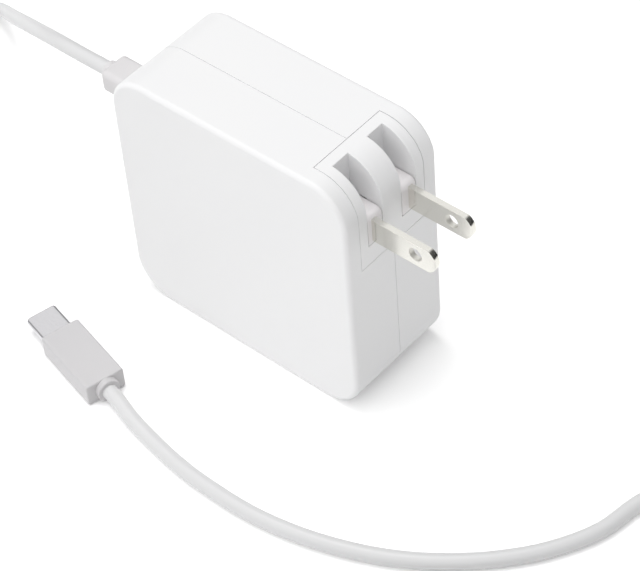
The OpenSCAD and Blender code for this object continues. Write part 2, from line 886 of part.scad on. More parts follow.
bulk_pins = [for (place = bulk_places) each pin_pair(place, bulk_pin_reach)];
output_cap_pins = [for (place = output_cap_places) each pin_pair(place, output_cap_pin_reach)];
x_cap_pins = pin_pair(x_cap_place, x_cap_pin_reach);
fuse_pins = pin_pair(fuse_place, fuse_pin_reach);
varistor_pins = pin_stack(varistor_place, disc_pin_reach);
y_cap_pins = pin_stack(y_cap_place, disc_pin_reach);
bridge_pins = [for (i = [-1.5:1.5]) [bridge_place.x + i * bridge_pin_pitch, mid_height + bridge_place.y]];
switch_pins = [for (i = [-1:1])
    [sink_place.x + i * switch_pin_pitch, mid_height + sink_place.y - switch_size.z / 2]];
output_choke_pins = pin_pair(output_choke_place, output_choke_pin_reach);
choke_pins = pin_grid(choke_place, choke_pin_reach, [-1, 1]);
bobbin_pins = pin_grid(core_place, bobbin_pin_reach, [-1, 0, 1]);
board_pins = concat(bulk_pins, output_cap_pins, x_cap_pins, fuse_pins, varistor_pins, y_cap_pins,
    bridge_pins, switch_pins, output_choke_pins, choke_pins, bobbin_pins, wire_holes);

// Thin pins from the main board's face through it
module board_pins_at(places, above = bite) {
    for (place = places)
        translate([place.x, board_face - above, place.y])
            rotate([-90, 0, 0])
                cylinder(r = lead_pin_radius, h = board_thickness + above, $fn = 24);
}

// A sheet in the board's outline, notched for the housing's ledges
module board_blank(front, thickness) {
    difference() {
        translate([0, front + thickness, mid_height])
            rotate([90, 0, 0])
                linear_extrude(thickness)
                    rounded_rect([board_length, board_height], board_corner);
        housing_ledges(0.2);
    }
}

module main_board() {
    color("seagreen")
    difference() {
        board_blank(board_face, board_thickness);
        for (place = board_pins)
            translate([place.x, board_face - 1, place.y])
                rotate([-90, 0, 0])
                    cylinder(r = lead_pin_radius + pin_hole_gap, h = board_thickness + 2, $fn = 24);
    }
}

module insulating_sheet() {
    color("lightyellow")
    board_blank(board_back, sheet_thickness);
}

// Cylinder that stands on the main board, its axis across it
module standing_cylinder(place, radius, length) {
    translate([place.x, board_face, mid_height + place.y])
        rotate([90, 0, 0])
            cylinder(r = radius, h = length);
}

// Block that stands on the main board: size is along X, away from the board, along Z
module standing_block(place, size, lift = 0) {
    translate([place.x - size.x / 2, board_face - lift - size.y, mid_height + place.y - size.z / 2])
        cube(size);
}

module fuse() {
    color("saddlebrown")
    standing_cylinder(fuse_place, fuse_radius, fuse_length);
    color("silver")
    board_pins_at(fuse_pins);
}

// Disc that stands on edge with its two leads
module edge_disc(place, radius, thickness, pins) {
    translate([place.x - thickness / 2, board_face - disc_lift - radius, mid_height + place.y])
        rotate([0, 90, 0])
            cylinder(r = radius, h = thickness);
    board_pins_at(pins, disc_lift + radius / 2);
}

module varistor() {
    color("royalblue")
    edge_disc(varistor_place, varistor_radius, varistor_thickness, varistor_pins);
}

module y_capacitor() {
    color("steelblue")
    edge_disc(y_cap_place, y_cap_radius, y_cap_thickness, y_cap_pins);
}

module choke_base() {
    color("dimgray") {
        standing_block(choke_place, choke_base_size);
        board_pins_at(choke_pins);
    }
}

choke_centre_y = board_face - choke_base_size.y - choke_radius - choke_cover;

// Ring around an axis along X, from a half section beside that axis
module choke_ring(angle, start) {
    translate([choke_place.x, choke_centre_y, mid_height + choke_place.y])
        rotate([0, 90, 0])
            rotate(start)
                rotate_extrude(angle = angle)
                    children();
}

module choke_core() {
    color("darkgreen")
    choke_ring(360, 0)
        translate([choke_hole_radius, -choke_thickness / 2])
            square([choke_radius - choke_hole_radius, choke_thickness]);
}

module choke_windings() {
    color("chocolate")
    for (start = choke_winding_starts)
        choke_ring(choke_winding_arc, start)
            difference() {
                translate([choke_hole_radius - choke_cover, -choke_thickness / 2 - choke_cover])
                    square([choke_radius - choke_hole_radius + 2 * choke_cover,
                        choke_thickness + 2 * choke_cover]);
                translate([choke_hole_radius - fit_gap, -choke_thickness / 2 - fit_gap])
                    square([choke_radius - choke_hole_radius + 2 * fit_gap, choke_thickness + 2 * fit_gap]);
            }
}

module x_capacitor() {
    color("gold")
    standing_block(x_cap_place, x_cap_size);
    color("silver")
    board_pins_at(x_cap_pins);
}

module bridge_rectifier() {
    color("dimgray")
    standing_block(bridge_place, bridge_size, bridge_lift);
    color("silver")
    board_pins_at(bridge_pins, bridge_lift + bite);
}

module bulk_capacitors() {
    color("midnightblue")
    for (place = bulk_places)
        standing_cylinder(place, bulk_diameter / 2, bulk_length);
    color("silver")
    board_pins_at(bulk_pins);
}

module primary_switch() {
    color("dimgray")
    translate([0, 0, -switch_size.z / 2])
        standing_block(sink_place, switch_size, switch_lift);
    color("silver")
    board_pins_at(switch_pins, switch_lift + bite);
}

module primary_heat_sink() {
    color("silver")
    translate([0, 0, sink_size.z / 2])
        standing_block(sink_place, sink_size);
}

core_middle_y = board_face - core_base - core_depth / 2;

// Puts its child at the middle of the transformer
module at_core() {
    translate([core_place.x, core_middle_y, mid_height + core_place.y])
        children();
}

module transformer_core() {
    window_length = core_length - 2 * core_leg;
    window_height = core_height - 2 * core_leg;
    color("darkslategray")
    at_core() {
        difference() {
            cube([core_length, core_depth, core_height], center = true);
            cube([window_length, core_depth + 1, window_height], center = true);
        }
        cylinder(r = core_post_radius, h = window_height + bite, center = true);
    }
}

module transformer_bobbin() {
    window_length = core_length - 2 * core_leg - 2 * fit_gap;
    window_height = core_height - 2 * core_leg - 2 * fit_gap;
    foot = core_base - fit_gap;
    color("black") {
        at_core()
            difference() {
                union() {
                    cylinder(r = core_post_radius + bobbin_wall, h = window_height, center = true);
                    for (s = [-1, 1])
                        translate([0, 0, s * (window_height - bobbin_wall) / 2])
                            cube([window_length, core_depth, bobbin_wall], center = true);
                }
                cylinder(r = core_post_radius + fit_gap, h = core_height, center = true);
            }
        // Legs from the flanges down to the pin rails on the board
        for (s = [-1, 1])
            translate([0, 0, s * (window_height - bobbin_wall) / 2])
                standing_block(core_place, [window_length, core_base + bite, bobbin_wall]);
        for (s = [-1, 1])
            standing_block(core_place + [s * bobbin_pin_reach.x, 0], [bobbin_rail, foot, window_height]);
        board_pins_at(bobbin_pins);
    }
}

module transformer_winding() {
    window_height = core_height - 2 * core_leg - 2 * fit_gap - 2 * bobbin_wall;
    color("goldenrod")
    at_core()
        difference() {
            cylinder(r = winding_radius, h = window_height - 2 * fit_gap, center = true);
            cylinder(r = core_post_radius + bobbin_wall + fit_gap, h = core_height, center = true);
        }
}

module optocoupler() {
    color("dimgray")
    standing_block(opto_place, opto_size);
}

module control_board() {
    color("seagreen")
    standing_block(control_place, control_size);
}

module control_chip() {
    color("dimgray")
    translate([0, 0, control_size.z / 2 + control_chip_size.z / 2])
        standing_block(control_place, control_chip_size, control_chip_lift);
}

module rectifier_chip() {
    color("dimgray")
    standing_block(rectifier_place, rectifier_size);
}

module output_heat_sink() {
    color("peru")
    standing_block(rectifier_place, output_sink_size, rectifier_size.y);
}

module output_capacitors() {
    color("lightsteelblue")
    for (place = output_cap_places)
        standing_cylinder(place, output_cap_diameter / 2, output_cap_length);
    color("silver")
    board_pins_at(output_cap_pins);
}

module output_choke() {
    color("dimgray")
    standing_cylinder(output_choke_place, output_choke_radius, output_choke_length);
    color("silver")
    board_pins_at(output_choke_pins);
}

spreader_back = -inner_y + spreader_thickness;

module heat_spreader() {
    color("silver")
    box([-post_x + post_radius + spreader_post_gap, -inner_y, spreader_margin],
        [half_length - panel_back - spreader_panel_gap, spreader_back, case_height - spreader_margin]);
}

module thermal_pad() {
    half_pad = [core_length / 2 - pad_margin, core_height / 2 - pad_margin];
    middle = core_place + [0, mid_height];
    color("gray")
    box([middle.x - half_pad.x, spreader_back, middle.y - half_pad.y],
        [middle.x + half_pad.x, core_middle_y - core_depth / 2, middle.y + half_pad.y]);
}

module strain_relief() {
    color("white") {
        difference() {
            translate([-half_length + wall / 2 - relief_length / 2, 0, cord_exit_height])
                rotate([0, 90, 0])
                    rounded_block([relief_height, relief_width, relief_length + wall],
                        relief_corner, relief_edge);
            box([-half_length, -far, 0], [far, far, far]);
        }
        translate([-half_length - relief_length - relief_collar_length, 0, cord_exit_height])
            rotate([0, 90, 0])
                cylinder(d = relief_collar_diameter, h = relief_collar_length + bite);
        box([-half_length - bite, -neck_width / 2, cord_exit_height - neck_height / 2],
            [-inner_x + bite, neck_width / 2, cord_exit_height + neck_height / 2]);
        box([-inner_x, -inner_flange_width / 2, cord_exit_height - inner_flange_height / 2],
            [-inner_x + inner_flange_thickness, inner_flange_width / 2,
                cord_exit_height + inner_flange_height / 2]);
    }
}

function unit(v) = v / norm(v);

// Direction of a route at one of its points
function heading(p, i) = unit(p[min(i + 1, len(p) - 1)] - p[max(i - 1, 0)]);

// Ring of points square to the route at one of its points
function ring(p, i, radius, sides) =
    let (forward = heading(p, i), across = unit(cross([0, 0, 1], forward)), over = cross(forward, across))
    [for (k = [0:sides - 1])
        p[i] + radius * (cos(360 * (k + 0.5) / sides) * across + sin(360 * (k + 0.5) / sides) * over)];

// Closed tube along a route: triangles between its rings and across both ends
module tube(route, radius, sides) {
    rings = len(route);
    points = [for (i = [0:rings - 1]) each ring(route, i, radius, sides)];
    walls = [for (i = [0:rings - 2], k = [0:sides - 1])
        let (a = i * sides + k, b = i * sides + (k + 1) % sides)
        each [[a, b, b + sides], [a, b + sides, a + sides]]];
    caps = [for (k = [1:sides - 2]) each
        [[0, k + 1, k], [(rings - 1) * sides, (rings - 1) * sides + k, (rings - 1) * sides + k + 1]]];
    polyhedron(points = points, faces = concat(walls, caps));
}

// Coil: in along the lower layer, up in the half turn where the spiral reverses, out along the upper one
function coil_radius(t) = t < coil_turns / 2
    ? coil_outer - t * coil_pitch
    : coil_inner + (t - coil_turns / 2) * coil_pitch;
function coil_height(t) =
    coil_low + coil_pitch * min(max((t - coil_turns / 2) / 0.5 + 0.5, 0), 1);
function coil_point(t) =
    let (angle = coil_start_angle + 360 * t)
    [coil_centre.x + coil_radius(t) * cos(angle), coil_centre.y + coil_radius(t) * sin(angle),
        coil_height(t)];
coil_steps = round(coil_turns * coil_rings_per_turn);
coil_path = [for (i = [0:coil_steps]) coil_point(i * coil_turns / coil_steps)];
coil_start_heading = [-sin(coil_start_angle), cos(coil_start_angle), 0];
coil_end_angle = coil_start_angle + 360 * coil_turns;
coil_end_heading = [-sin(coil_end_angle), cos(coil_end_angle), 0];
coil_entry = coil_path[0] - cord_diameter * coil_start_heading;
coil_exit = coil_path[coil_steps] + cord_diameter * coil_end_heading;
coil_route = concat([coil_entry, coil_path[0] - coil_end_step * coil_start_heading], coil_path,
    [coil_path[coil_steps] + coil_end_step * coil_end_heading, coil_exit]);

// Rotation of a point of the plug into its place on the surface
function plug_point(p) = [
    plug_place.x + p.x * cos(plug_turn) - p.y * sin(plug_turn),
    plug_place.y + p.x * sin(plug_turn) + p.y * cos(plug_turn), p.z];

lead_path = concat([lead_start, lead_start - [cord_diameter, 0, 0]], lead_route,
    [coil_entry - cord_diameter * coil_start_heading, coil_entry]);
front_end = plug_point([-plug_collar_length, 0, plug_middle]);
front_end_heading = plug_point([1, 0, 0]) - plug_point([0, 0, 0]);
front_path = concat([coil_exit, coil_exit + cord_diameter * coil_end_heading], front_route,
    [front_end - cord_diameter * front_end_heading, front_end]);

// Least distance between two points of the coil that lie more than half a turn apart along it
function coil_least(i) = min([for (j = [i + coil_rings_per_turn / 2:coil_steps])
    norm(coil_path[i] - coil_path[j])]);
coil_gap = min([for (i = [0:coil_steps - coil_rings_per_turn / 2]) coil_least(i)]) - cord_diameter;
function route_length(p) = len(p) < 2 ? 0 : [for (i = 0, sum = 0; i < len(p); i = i + 1,
    sum = sum + (i < len(p) ? norm(p[i] - p[i - 1]) : 0)) sum][len(p) - 1];
echo(least_gap_in_coil = coil_gap);
echo(cord_length = route_length(lead_path) + route_length(coil_route) + route_length(front_path));
echo(rings_in_stretches = len(lead_path) + len(front_path));

module cord_lead() {
    color("white")
    tube(lead_path, cord_radius, cord_sides);
}

module cord_coil() {
    color("white")
    tube(coil_route, cord_radius, coil_sides);
}

module cord_front() {
    color("white")
    tube(front_path, cord_radius, cord_sides);
}

// Strap around the coil's turns, square to them
module cord_tie() {
    inner_reach = coil_inner - cord_radius - tie_inner_gap;
    outer_reach = coil_outer + cord_radius + tie_gap;
    low = coil_low - cord_radius - tie_under;
    high = coil_low + coil_pitch + cord_radius + tie_gap;
    size = [outer_reach - inner_reach, high - low];
    color("gainsboro")
    translate([coil_centre.x, coil_centre.y, (low + high) / 2])
        rotate([0, 0, tie_angle])
            translate([(inner_reach + outer_reach) / 2, 0, 0])
                rotate([90, 0, 0])
                    linear_extrude(tie_width, center = true)
                        difference() {
                            rounded_rect(size + 2 * [tie_thickness, tie_thickness],
                                tie_corner + tie_thickness);
                            rounded_rect(size, tie_corner);
                        }
}

// Puts its child where the plug lies, with the child's +X towards the plug's tip
module at_plug() {
    translate([plug_place.x, plug_place.y, plug_middle])
        rotate([0, 0, plug_turn])
            children();
}

// Bar with fully round sides along X, between two places
module usb_bar(width, height, from, to) {
    translate([from, 0, 0])
        rotate([90, 0, 90])
            linear_extrude(to - from)
                rounded_rect([width, height], height / 2 - 0.01);
}

module usb_collar() {
    color("white")
    at_plug()
        translate([-plug_collar_length, 0, 0])
            rotate([0, 90, 0])
                cylinder(r = plug_collar_radius, h = plug_collar_length);
}

// Space inside the grip for the plug's small board
module usb_board_block(grow) {
    at_plug()
        translate([grip_length - usb_root - usb_board_size.x / 2, 0, 0])
            cube([usb_board_size.x + 2 * grow, usb_board_size.y + 2 * grow, usb_board_size.z + 2 * grow],
                center = true);
}

module usb_grip() {
    color("whitesmoke")
    difference() {
        at_plug()
            translate([grip_length / 2, 0, 0])
                rotate([90, 0, 90])
                    rounded_block([grip_width, grip_height, grip_length], grip_corner, grip_edge);
        at_plug()
            usb_bar(usb_width + 2 * fit_gap, usb_height + 2 * fit_gap, grip_length - usb_root,
                grip_length + 1);
        usb_board_block(fit_gap);
    }
}

module usb_shell() {
    color("silver")
    at_plug()
        difference() {
            usb_bar(usb_width, usb_height, grip_length - usb_root, grip_length + usb_reach);
            usb_bar(usb_width - 2 * usb_wall, usb_height - 2 * usb_wall, grip_length - usb_root - 1,
                grip_length + usb_reach + 1);
        }
}

usb_tip = grip_length + usb_reach - usb_insulator_short;
slot_depth = contact_strip.x + 1;

module usb_insulator() {
    color("black")
    at_plug()
        difference() {
            usb_bar(usb_width - 2 * usb_wall - 2 * fit_gap, usb_height - 2 * usb_wall - 2 * fit_gap,
                grip_length - usb_root, usb_tip);
            translate([usb_tip - slot_depth, -usb_slot.x / 2, -usb_slot.y / 2])
                cube([slot_depth + 1, usb_slot.x, usb_slot.y]);
        }
}

module usb_contacts() {
    color("gold")
    at_plug()
        for (level = [-1, 1], i = [-5.5:1:5.5])
            translate([usb_tip - contact_strip.x / 2 - bite, i * contact_pitch,
                level * (usb_slot.y / 2 - contact_strip.z / 2)])
                cube(contact_strip, center = true);
}

module usb_board() {
    color("seagreen")
    usb_board_block(0);
}

front_shell();
back_shell();
plug_housing();
prong_rotor();
prong_shaft();
prong_blade_left();
prong_blade_right();
contact_spring_left();
contact_spring_right();
detent_spring();
mains_lead_left();
mains_lead_right();
main_board();
insulating_sheet();
fuse();
varistor();
choke_base();
choke_core();
choke_windings();
x_capacitor();
bridge_rectifier();
bulk_capacitors();
primary_switch();
primary_heat_sink();
transformer_core();
transformer_bobbin();
transformer_winding();
y_capacitor();
optocoupler();
control_board();
control_chip();
rectifier_chip();
output_heat_sink();
output_capacitors();
output_choke();
output_leads();
heat_spreader();
thermal_pad();
strain_relief();
cord_lead();
cord_coil();
cord_tie();
cord_front();
usb_collar();
usb_grip();
usb_shell();
usb_insulator();
usb_contacts();
usb_board();
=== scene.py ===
import math

import bmesh
import bpy
from mathutils import Matrix, Vector
from mathutils.geometry import interpolate_bezier


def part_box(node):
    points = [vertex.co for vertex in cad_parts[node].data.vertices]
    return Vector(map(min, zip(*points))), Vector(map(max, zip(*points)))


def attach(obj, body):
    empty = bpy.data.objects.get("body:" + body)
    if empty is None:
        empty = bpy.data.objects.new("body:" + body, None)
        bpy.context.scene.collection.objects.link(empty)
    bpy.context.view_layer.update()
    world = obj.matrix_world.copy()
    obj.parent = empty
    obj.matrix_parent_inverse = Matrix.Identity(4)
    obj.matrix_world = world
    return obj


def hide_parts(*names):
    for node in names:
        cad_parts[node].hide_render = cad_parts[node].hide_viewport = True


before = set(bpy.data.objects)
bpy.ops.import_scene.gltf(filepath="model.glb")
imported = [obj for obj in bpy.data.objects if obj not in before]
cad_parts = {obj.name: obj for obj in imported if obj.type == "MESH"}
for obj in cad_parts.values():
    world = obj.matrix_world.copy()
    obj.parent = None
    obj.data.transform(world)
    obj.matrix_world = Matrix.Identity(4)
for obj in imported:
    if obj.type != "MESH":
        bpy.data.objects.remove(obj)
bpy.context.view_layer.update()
scene = bpy.context.scene
mm = 0.001
weld = 1e-7  # m: points closer than this are one
sliver = 0.001  # mm: what keeps the four corners of a full circle apart


def hexColour(text):
    # sRGB as it is written, turned to linear light
    channels = [int(text[i:i + 2], 16) / 255 for i in (1, 3, 5)]
    linear = [c / 12.92 if c <= 0.04045 else ((c + 0.055) / 1.055) ** 2.4 for c in channels]
    return (*linear, 1.0)


def addNode(tree, kind, settings=None, inputs=None):
    node = tree.nodes.new(kind)
    for name, value in (settings or {}).items():
        setattr(node, name, value)
    for name, value in (inputs or {}).items():
        if isinstance(value, bpy.types.NodeSocket):
            tree.links.new(value, node.inputs[name])
        else:
            node.inputs[name].default_value = value
    return node


def meshPiece(name, bm, turn=None):
    bmesh.ops.remove_doubles(bm, verts=bm.verts, dist=weld)
    bmesh.ops.recalc_face_normals(bm, faces=bm.faces)
    if turn is not None:
        bm.transform(turn)
    mesh = bpy.data.meshes.new(name)
    bm.to_mesh(mesh)
    bm.free()
    piece = bpy.data.objects.new(name, mesh)
    scene.collection.objects.link(piece)
    return piece


def loft(bm, rings, closed=True):
    # quads from ring to ring, and a face across each end
    rows = [[bm.verts.new(point) for point in ring] for ring in rings]
    count = len(rows[0])
    for near, far in zip(rows, rows[1:]):
        for i in range(count):
            j = (i + 1) % count
            bm.faces.new((near[i], near[j], far[j], far[i]))
    if closed:
        bm.faces.new(list(reversed(rows[0])))
        bm.faces.new(rows[-1])


def extruded(name, outline, low, high):
    # outline is (x, z) pairs, drawn out along Y, all in millimetres
    bm = bmesh.new()
    loft(bm, [[(x * mm, y * mm, z * mm) for x, z in outline] for y in (low, high)])
    return meshPiece(name, bm)


def block(name, low, high):
    corners = [(low[0], low[2]), (high[0], low[2]), (high[0], high[2]), (low[0], high[2])]
    return extruded(name, corners, low[1], high[1])


def roundedOutline(halfWide, halfHigh, radius, steps, middle=(0, 0)):
    points = []
    for corner in range(4):
        cx = (halfWide - radius) * (1 if corner in (0, 3) else -1) + middle[0]
        cy = (halfHigh - radius) * (1 if corner in (0, 1) else -1) + middle[1]
        for i in range(steps + 1):
            angle = math.radians(90 * corner + 90 * i / steps)
            points.append((cx + radius * math.cos(angle), cy + radius * math.sin(angle)))
    return points


def arcPoints(middle, radius, start, end, steps):
    turns = [math.radians(start + (end - start) * i / steps) for i in range(steps + 1)]
    return [(middle[0] + radius * math.cos(turn), middle[1] + radius * math.sin(turn))
            for turn in turns]


def bakeModifiers(piece):
    graph = bpy.context.evaluated_depsgraph_get()
    graph.update()
    result = bpy.data.meshes.new_from_object(piece.evaluated_get(graph), depsgraph=graph)
    piece.modifiers.clear()
    old = piece.data
    piece.data = result
    bpy.data.meshes.remove(old)
    result.name = piece.name


def combine(piece, other, operation):
    # boolean with another piece, which is used up
    step = piece.modifiers.new("combine", "BOOLEAN")
    step.operation = operation
    step.solver = "EXACT"
    step.object = other
    bakeModifiers(piece)
    used = other.data
    bpy.data.objects.remove(other)
    bpy.data.meshes.remove(used)


def roundEdges(piece, width, segments, test, fromAngle=35):
    # rounds the folds whose middle passes the test, which returns a share of the width
    bm = bmesh.new()
    bm.from_mesh(piece.data)
    bmesh.ops.remove_doubles(bm, verts=bm.verts, dist=10 * weld)
    bmesh.ops.dissolve_degenerate(bm, edges=bm.edges, dist=10 * weld)
    layers = bm.edges.layers.float
    weight = layers.get("bevel_weight_edge") or layers.new("bevel_weight_edge")
    for edge in bm.edges:
        fold = len(edge.link_faces) == 2 and edge.calc_face_angle(0) > math.radians(fromAngle)
        middle = (edge.verts[0].co + edge.verts[1].co) / 2
        edge[weight] = test(middle / mm) if fold else 0
    bm.to_mesh(piece.data)
    bm.free()
    step = piece.modifiers.new("round", "BEVEL")
    step.width = width * mm
    step.segments = segments
    step.limit_method = "WEIGHT"
    step.use_clamp_overlap = False
    bakeModifiers(piece)


def smooth(piece, angle):
    # flat faces stay flat up to their roundings, because large faces set the normals they share
    piece.data.shade_smooth()
    piece.data.set_sharp_from_angle(angle=math.radians(angle))
    step = piece.modifiers.new("flats", "WEIGHTED_NORMAL")
    step.mode = "FACE_AREA"
    step.weight = 90  # of 100, towards the largest face
    step.keep_sharp = True
    bakeModifiers(piece)


def evenCopiesTree():
    # copies of a shape in equal groups: each copy a step and a turn on from the last one in its
    # group, and each group a turn on from the last group, all round X
    tree = bpy.data.node_groups.new("evenCopies", "GeometryNodeTree")
    for name, kind in (("Shape", "Geometry"), ("Copies", "Int"), ("Group", "Int"),
                       ("Start", "Vector"), ("Step", "Vector"), ("First turn", "Float"),
                       ("Turn", "Float"), ("Group turn", "Float"), ("Finish", "Material")):
        tree.interface.new_socket(name, in_out="INPUT", socket_type="NodeSocket" + kind)
    tree.interface.new_socket("Shape", in_out="OUTPUT", socket_type="NodeSocketGeometry")
    given = addNode(tree, "NodeGroupInput").outputs
    index = addNode(tree, "GeometryNodeInputIndex").outputs["Index"]
    place, ratio = [addNode(tree, "ShaderNodeMath", {"operation": operation}, {
        0: index, 1: given["Group"]}).outputs[0] for operation in ("MODULO", "DIVIDE")]
    group = addNode(tree, "ShaderNodeMath", {"operation": "FLOOR"}, {0: ratio}).outputs[0]
    moved = addNode(tree, "ShaderNodeVectorMath", {"operation": "SCALE"}, {
        0: given["Step"], "Scale": place})
    offset = addNode(tree, "ShaderNodeVectorMath", {"operation": "ADD"}, {
        0: moved.outputs[0], 1: given["Start"]})
    own = addNode(tree, "ShaderNodeMath", {"operation": "MULTIPLY_ADD"}, {
        0: place, 1: given["Turn"], 2: given["First turn"]}).outputs[0]
    angle = addNode(tree, "ShaderNodeMath", {"operation": "MULTIPLY_ADD"}, {
        0: group, 1: given["Group turn"], 2: own}).outputs[0]
    facing = addNode(tree, "ShaderNodeCombineXYZ", inputs={"X": angle}).outputs[0]
    rotation = addNode(tree, "FunctionNodeEulerToRotation", inputs={0: facing}).outputs[0]
    points = addNode(tree, "GeometryNodePoints", inputs={
        "Count": given["Copies"], "Position": offset.outputs[0]})
    copies = addNode(tree, "GeometryNodeInstanceOnPoints", inputs={
        "Points": points.outputs[0], "Instance": given["Shape"], "Rotation": rotation})
    solid = addNode(tree, "GeometryNodeRealizeInstances", inputs={0: copies.outputs[0]})
    finished = addNode(tree, "GeometryNodeSetMaterial", inputs={
        "Geometry": solid.outputs[0], "Material": given["Finish"]})
    addNode(tree, "NodeGroupOutput", inputs={0: finished.outputs[0]})
    return tree


copiesTree = evenCopiesTree()


def evenCopies(piece, values, turn):
    # values are the tree's inputs by name, which the modifier takes by their identifiers
    step = piece.modifiers.new("copies", "NODES")
    step.node_group = copiesTree
    for item in copiesTree.interface.items_tree:
        if item.in_out == "INPUT" and item.name in values:
            step[item.identifier] = values[item.name]
    bakeModifiers(piece)
    piece.data.transform(turn)


def dress(piece, body, material, slot, *nodes):
    # its finish, the body it rides on, its slot (not used), and the CAD nodes that it stands in for
    piece.data.materials.clear()
    piece.data.materials.append(material)
    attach(piece, body)
    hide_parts(*nodes)
    return piece


view = {
    "eye": (293.75, -290.56, 447.47),  # mm
    "turn": 44.239,  # degrees round Z, and then down and over
    "down": 46.829,
    "roll": -5.12,
    "lens": 141.2,  # mm, and what it looks through
    "sensor": 36,
    "near": 0.02, "far": 50,  # m
}


def makeCamera():
    turn, down, roll = (math.radians(view[key]) for key in ("turn", "down", "roll"))
    ahead = Vector((-math.sin(turn) * math.cos(down), math.cos(turn) * math.cos(down),
                    -math.sin(down)))
    level = Vector((math.cos(turn), math.sin(turn), 0))
    over = level.cross(ahead)
    right = math.cos(roll) * level + math.sin(roll) * over
    up = right.cross(ahead)
    data = bpy.data.cameras.new("studioCamera")
    data.sensor_width = view["sensor"]
    data.sensor_fit = "HORIZONTAL"
    data.lens = view["lens"]
    data.clip_start = view["near"]
    data.clip_end = view["far"]
    camera = bpy.data.objects.new("studioCamera", data)
    scene.collection.objects.link(camera)
    axes = Matrix((right, up, -ahead)).transposed().to_4x4()
    camera.matrix_world = Matrix.Translation(Vector(view["eye"]) * mm) @ axes
    scene.camera = camera


makeCamera()
print("camera set")


# grain is the size of the fine pattern, and depth its relief, in millimetres
plastics = {
    # injection-moulded PC/ABS, polished mould: an even white with a soft gloss
    "caseWhite": {"colour": "#f2f2f2", "other": "#f0f0f1",
        "rough": (0.42, 0.50), "grain": 0.9, "depth": 0.004},
    # the same resin in the turning carrier, a touch warmer
    "carrierWhite": {"colour": "#f0edee", "other": "#ece9ea",
        "rough": (0.42, 0.50), "grain": 0.9, "depth": 0.004},
    # thermoplastic elastomer over the cord's exit, finely matt
    "reliefElastomer": {"colour": "#dcdadb", "other": "#d9d7d8",
        "rough": (0.46, 0.56), "grain": 0.5, "depth": 0.006},
    # satin ABS of the small plug, white, greyed below the case's white by painted shade for the
    # dimmer light on the plug
    "gripSatinPaintedShade": {"colour": "#cfcdce", "other": "#cbcacc",
        "rough": (0.36, 0.44), "grain": 0.7, "depth": 0.004},
    # moulded PBT of the small parts on the boards: near-black and half matt
    "blackMoulding": {"colour": "#141416", "other": "#1c1c1f",
        "rough": (0.42, 0.55), "grain": 0.4, "depth": 0.006},
    # moulded phenolic of the fuse: dark reddish brown, half matt
    "brownMoulding": {"colour": "#5b3b24", "other": "#664329",
        "rough": (0.40, 0.5), "grain": 0.5, "depth": 0.006},
    # polyester box of the film capacitor: clear yellow, half matt
    "yellowMoulding": {"colour": "#d8b83c", "other": "#cfae32",
        "rough": (0.38, 0.48), "grain": 0.6, "depth": 0.005},
    # dipped epoxy: thick, glossy and slightly uneven
    "blueDip": {"colour": "#2c55a0", "other": "#264b90",
        "rough": (0.22, 0.32), "grain": 1.8, "depth": 0.03},
    # shrink sleeve drawn over an aluminium can
    "darkSleeve": {"colour": "#1a1d33", "other": "#20233c",
        "rough": (0.24, 0.34), "grain": 2.2, "depth": 0.01},
    # polyimide film wound over the windings
    "amberFilm": {"colour": "#c8962d", "other": "#b98825",
        "rough": (0.22, 0.34), "grain": 1.4, "depth": 0.012},
    # extruded PVC on the leads: satin, in the colour of its core
    "whiteInsulation": {"colour": "#dedede", "other": "#d6d6d6",
        "rough": (0.40, 0.5), "grain": 0.6, "depth": 0.004},
    "redInsulation": {"colour": "#a52222", "other": "#981d1d",
        "rough": (0.40, 0.5), "grain": 0.6, "depth": 0.004},
    # filled silicone: dull, with a fine tooth
    "greySilicone": {"colour": "#7a7d82", "other": "#70737a",
        "rough": (0.70, 0.85), "grain": 0.3, "depth": 0.02},
}


def newMaterial(name):
    material = bpy.data.materials.new(name)
    material.use_nodes = True
    material.node_tree.nodes.clear()
    return material, material.node_tree


def finishSurface(tree, look, blend, grain, strength, shine, sunk=False):
    # two close tones mixed by one pattern, and fine relief in millimetres from another,
    # which the roughness also follows where it has a range
    tone = addNode(tree, "ShaderNodeMix", {"data_type": "RGBA"}, {
        0: blend, 6: hexColour(look["colour"]), 7: hexColour(look["other"])})
    bump = addNode(tree, "ShaderNodeBump", {"invert": sunk}, {
        "Height": grain, "Strength": strength, "Distance": look["depth"] * mm})
    inputs = {"Base Color": tone.outputs[2], "Normal": bump.outputs["Normal"], **shine}
    if "rough" in look:  # noise stays mostly between 0.3 and 0.7
        rough = addNode(tree, "ShaderNodeMapRange", inputs={
            "Value": grain, "From Min": 0.3, "From Max": 0.7,
            "To Min": look["rough"][0], "To Max": look["rough"][1]})
        inputs["Roughness"] = rough.outputs[0]
    shader = addNode(tree, "ShaderNodeBsdfPrincipled", inputs=inputs)
    addNode(tree, "ShaderNodeOutputMaterial", inputs={"Surface": shader.outputs[0]})


def mouldedPlastic(name, look):
    material, tree = newMaterial(name)
    place = addNode(tree, "ShaderNodeTexCoord").outputs["Object"]
    # slow drift of tone across a moulding, 25 mm wide
    drift = addNode(tree, "ShaderNodeTexNoise", inputs={
        "Vector": place, "Scale": 1 / (25 * mm), "Detail": 2.0})
    grain = addNode(tree, "ShaderNodeTexNoise", inputs={
        "Vector": place, "Scale": 1 / (look["grain"] * mm), "Detail": 3.0, "Roughness": 0.6})
    finishSurface(tree, look, drift.outputs["Fac"], grain.outputs["Fac"], strength=0.5,
                  shine={"IOR": 1.5})
    return material


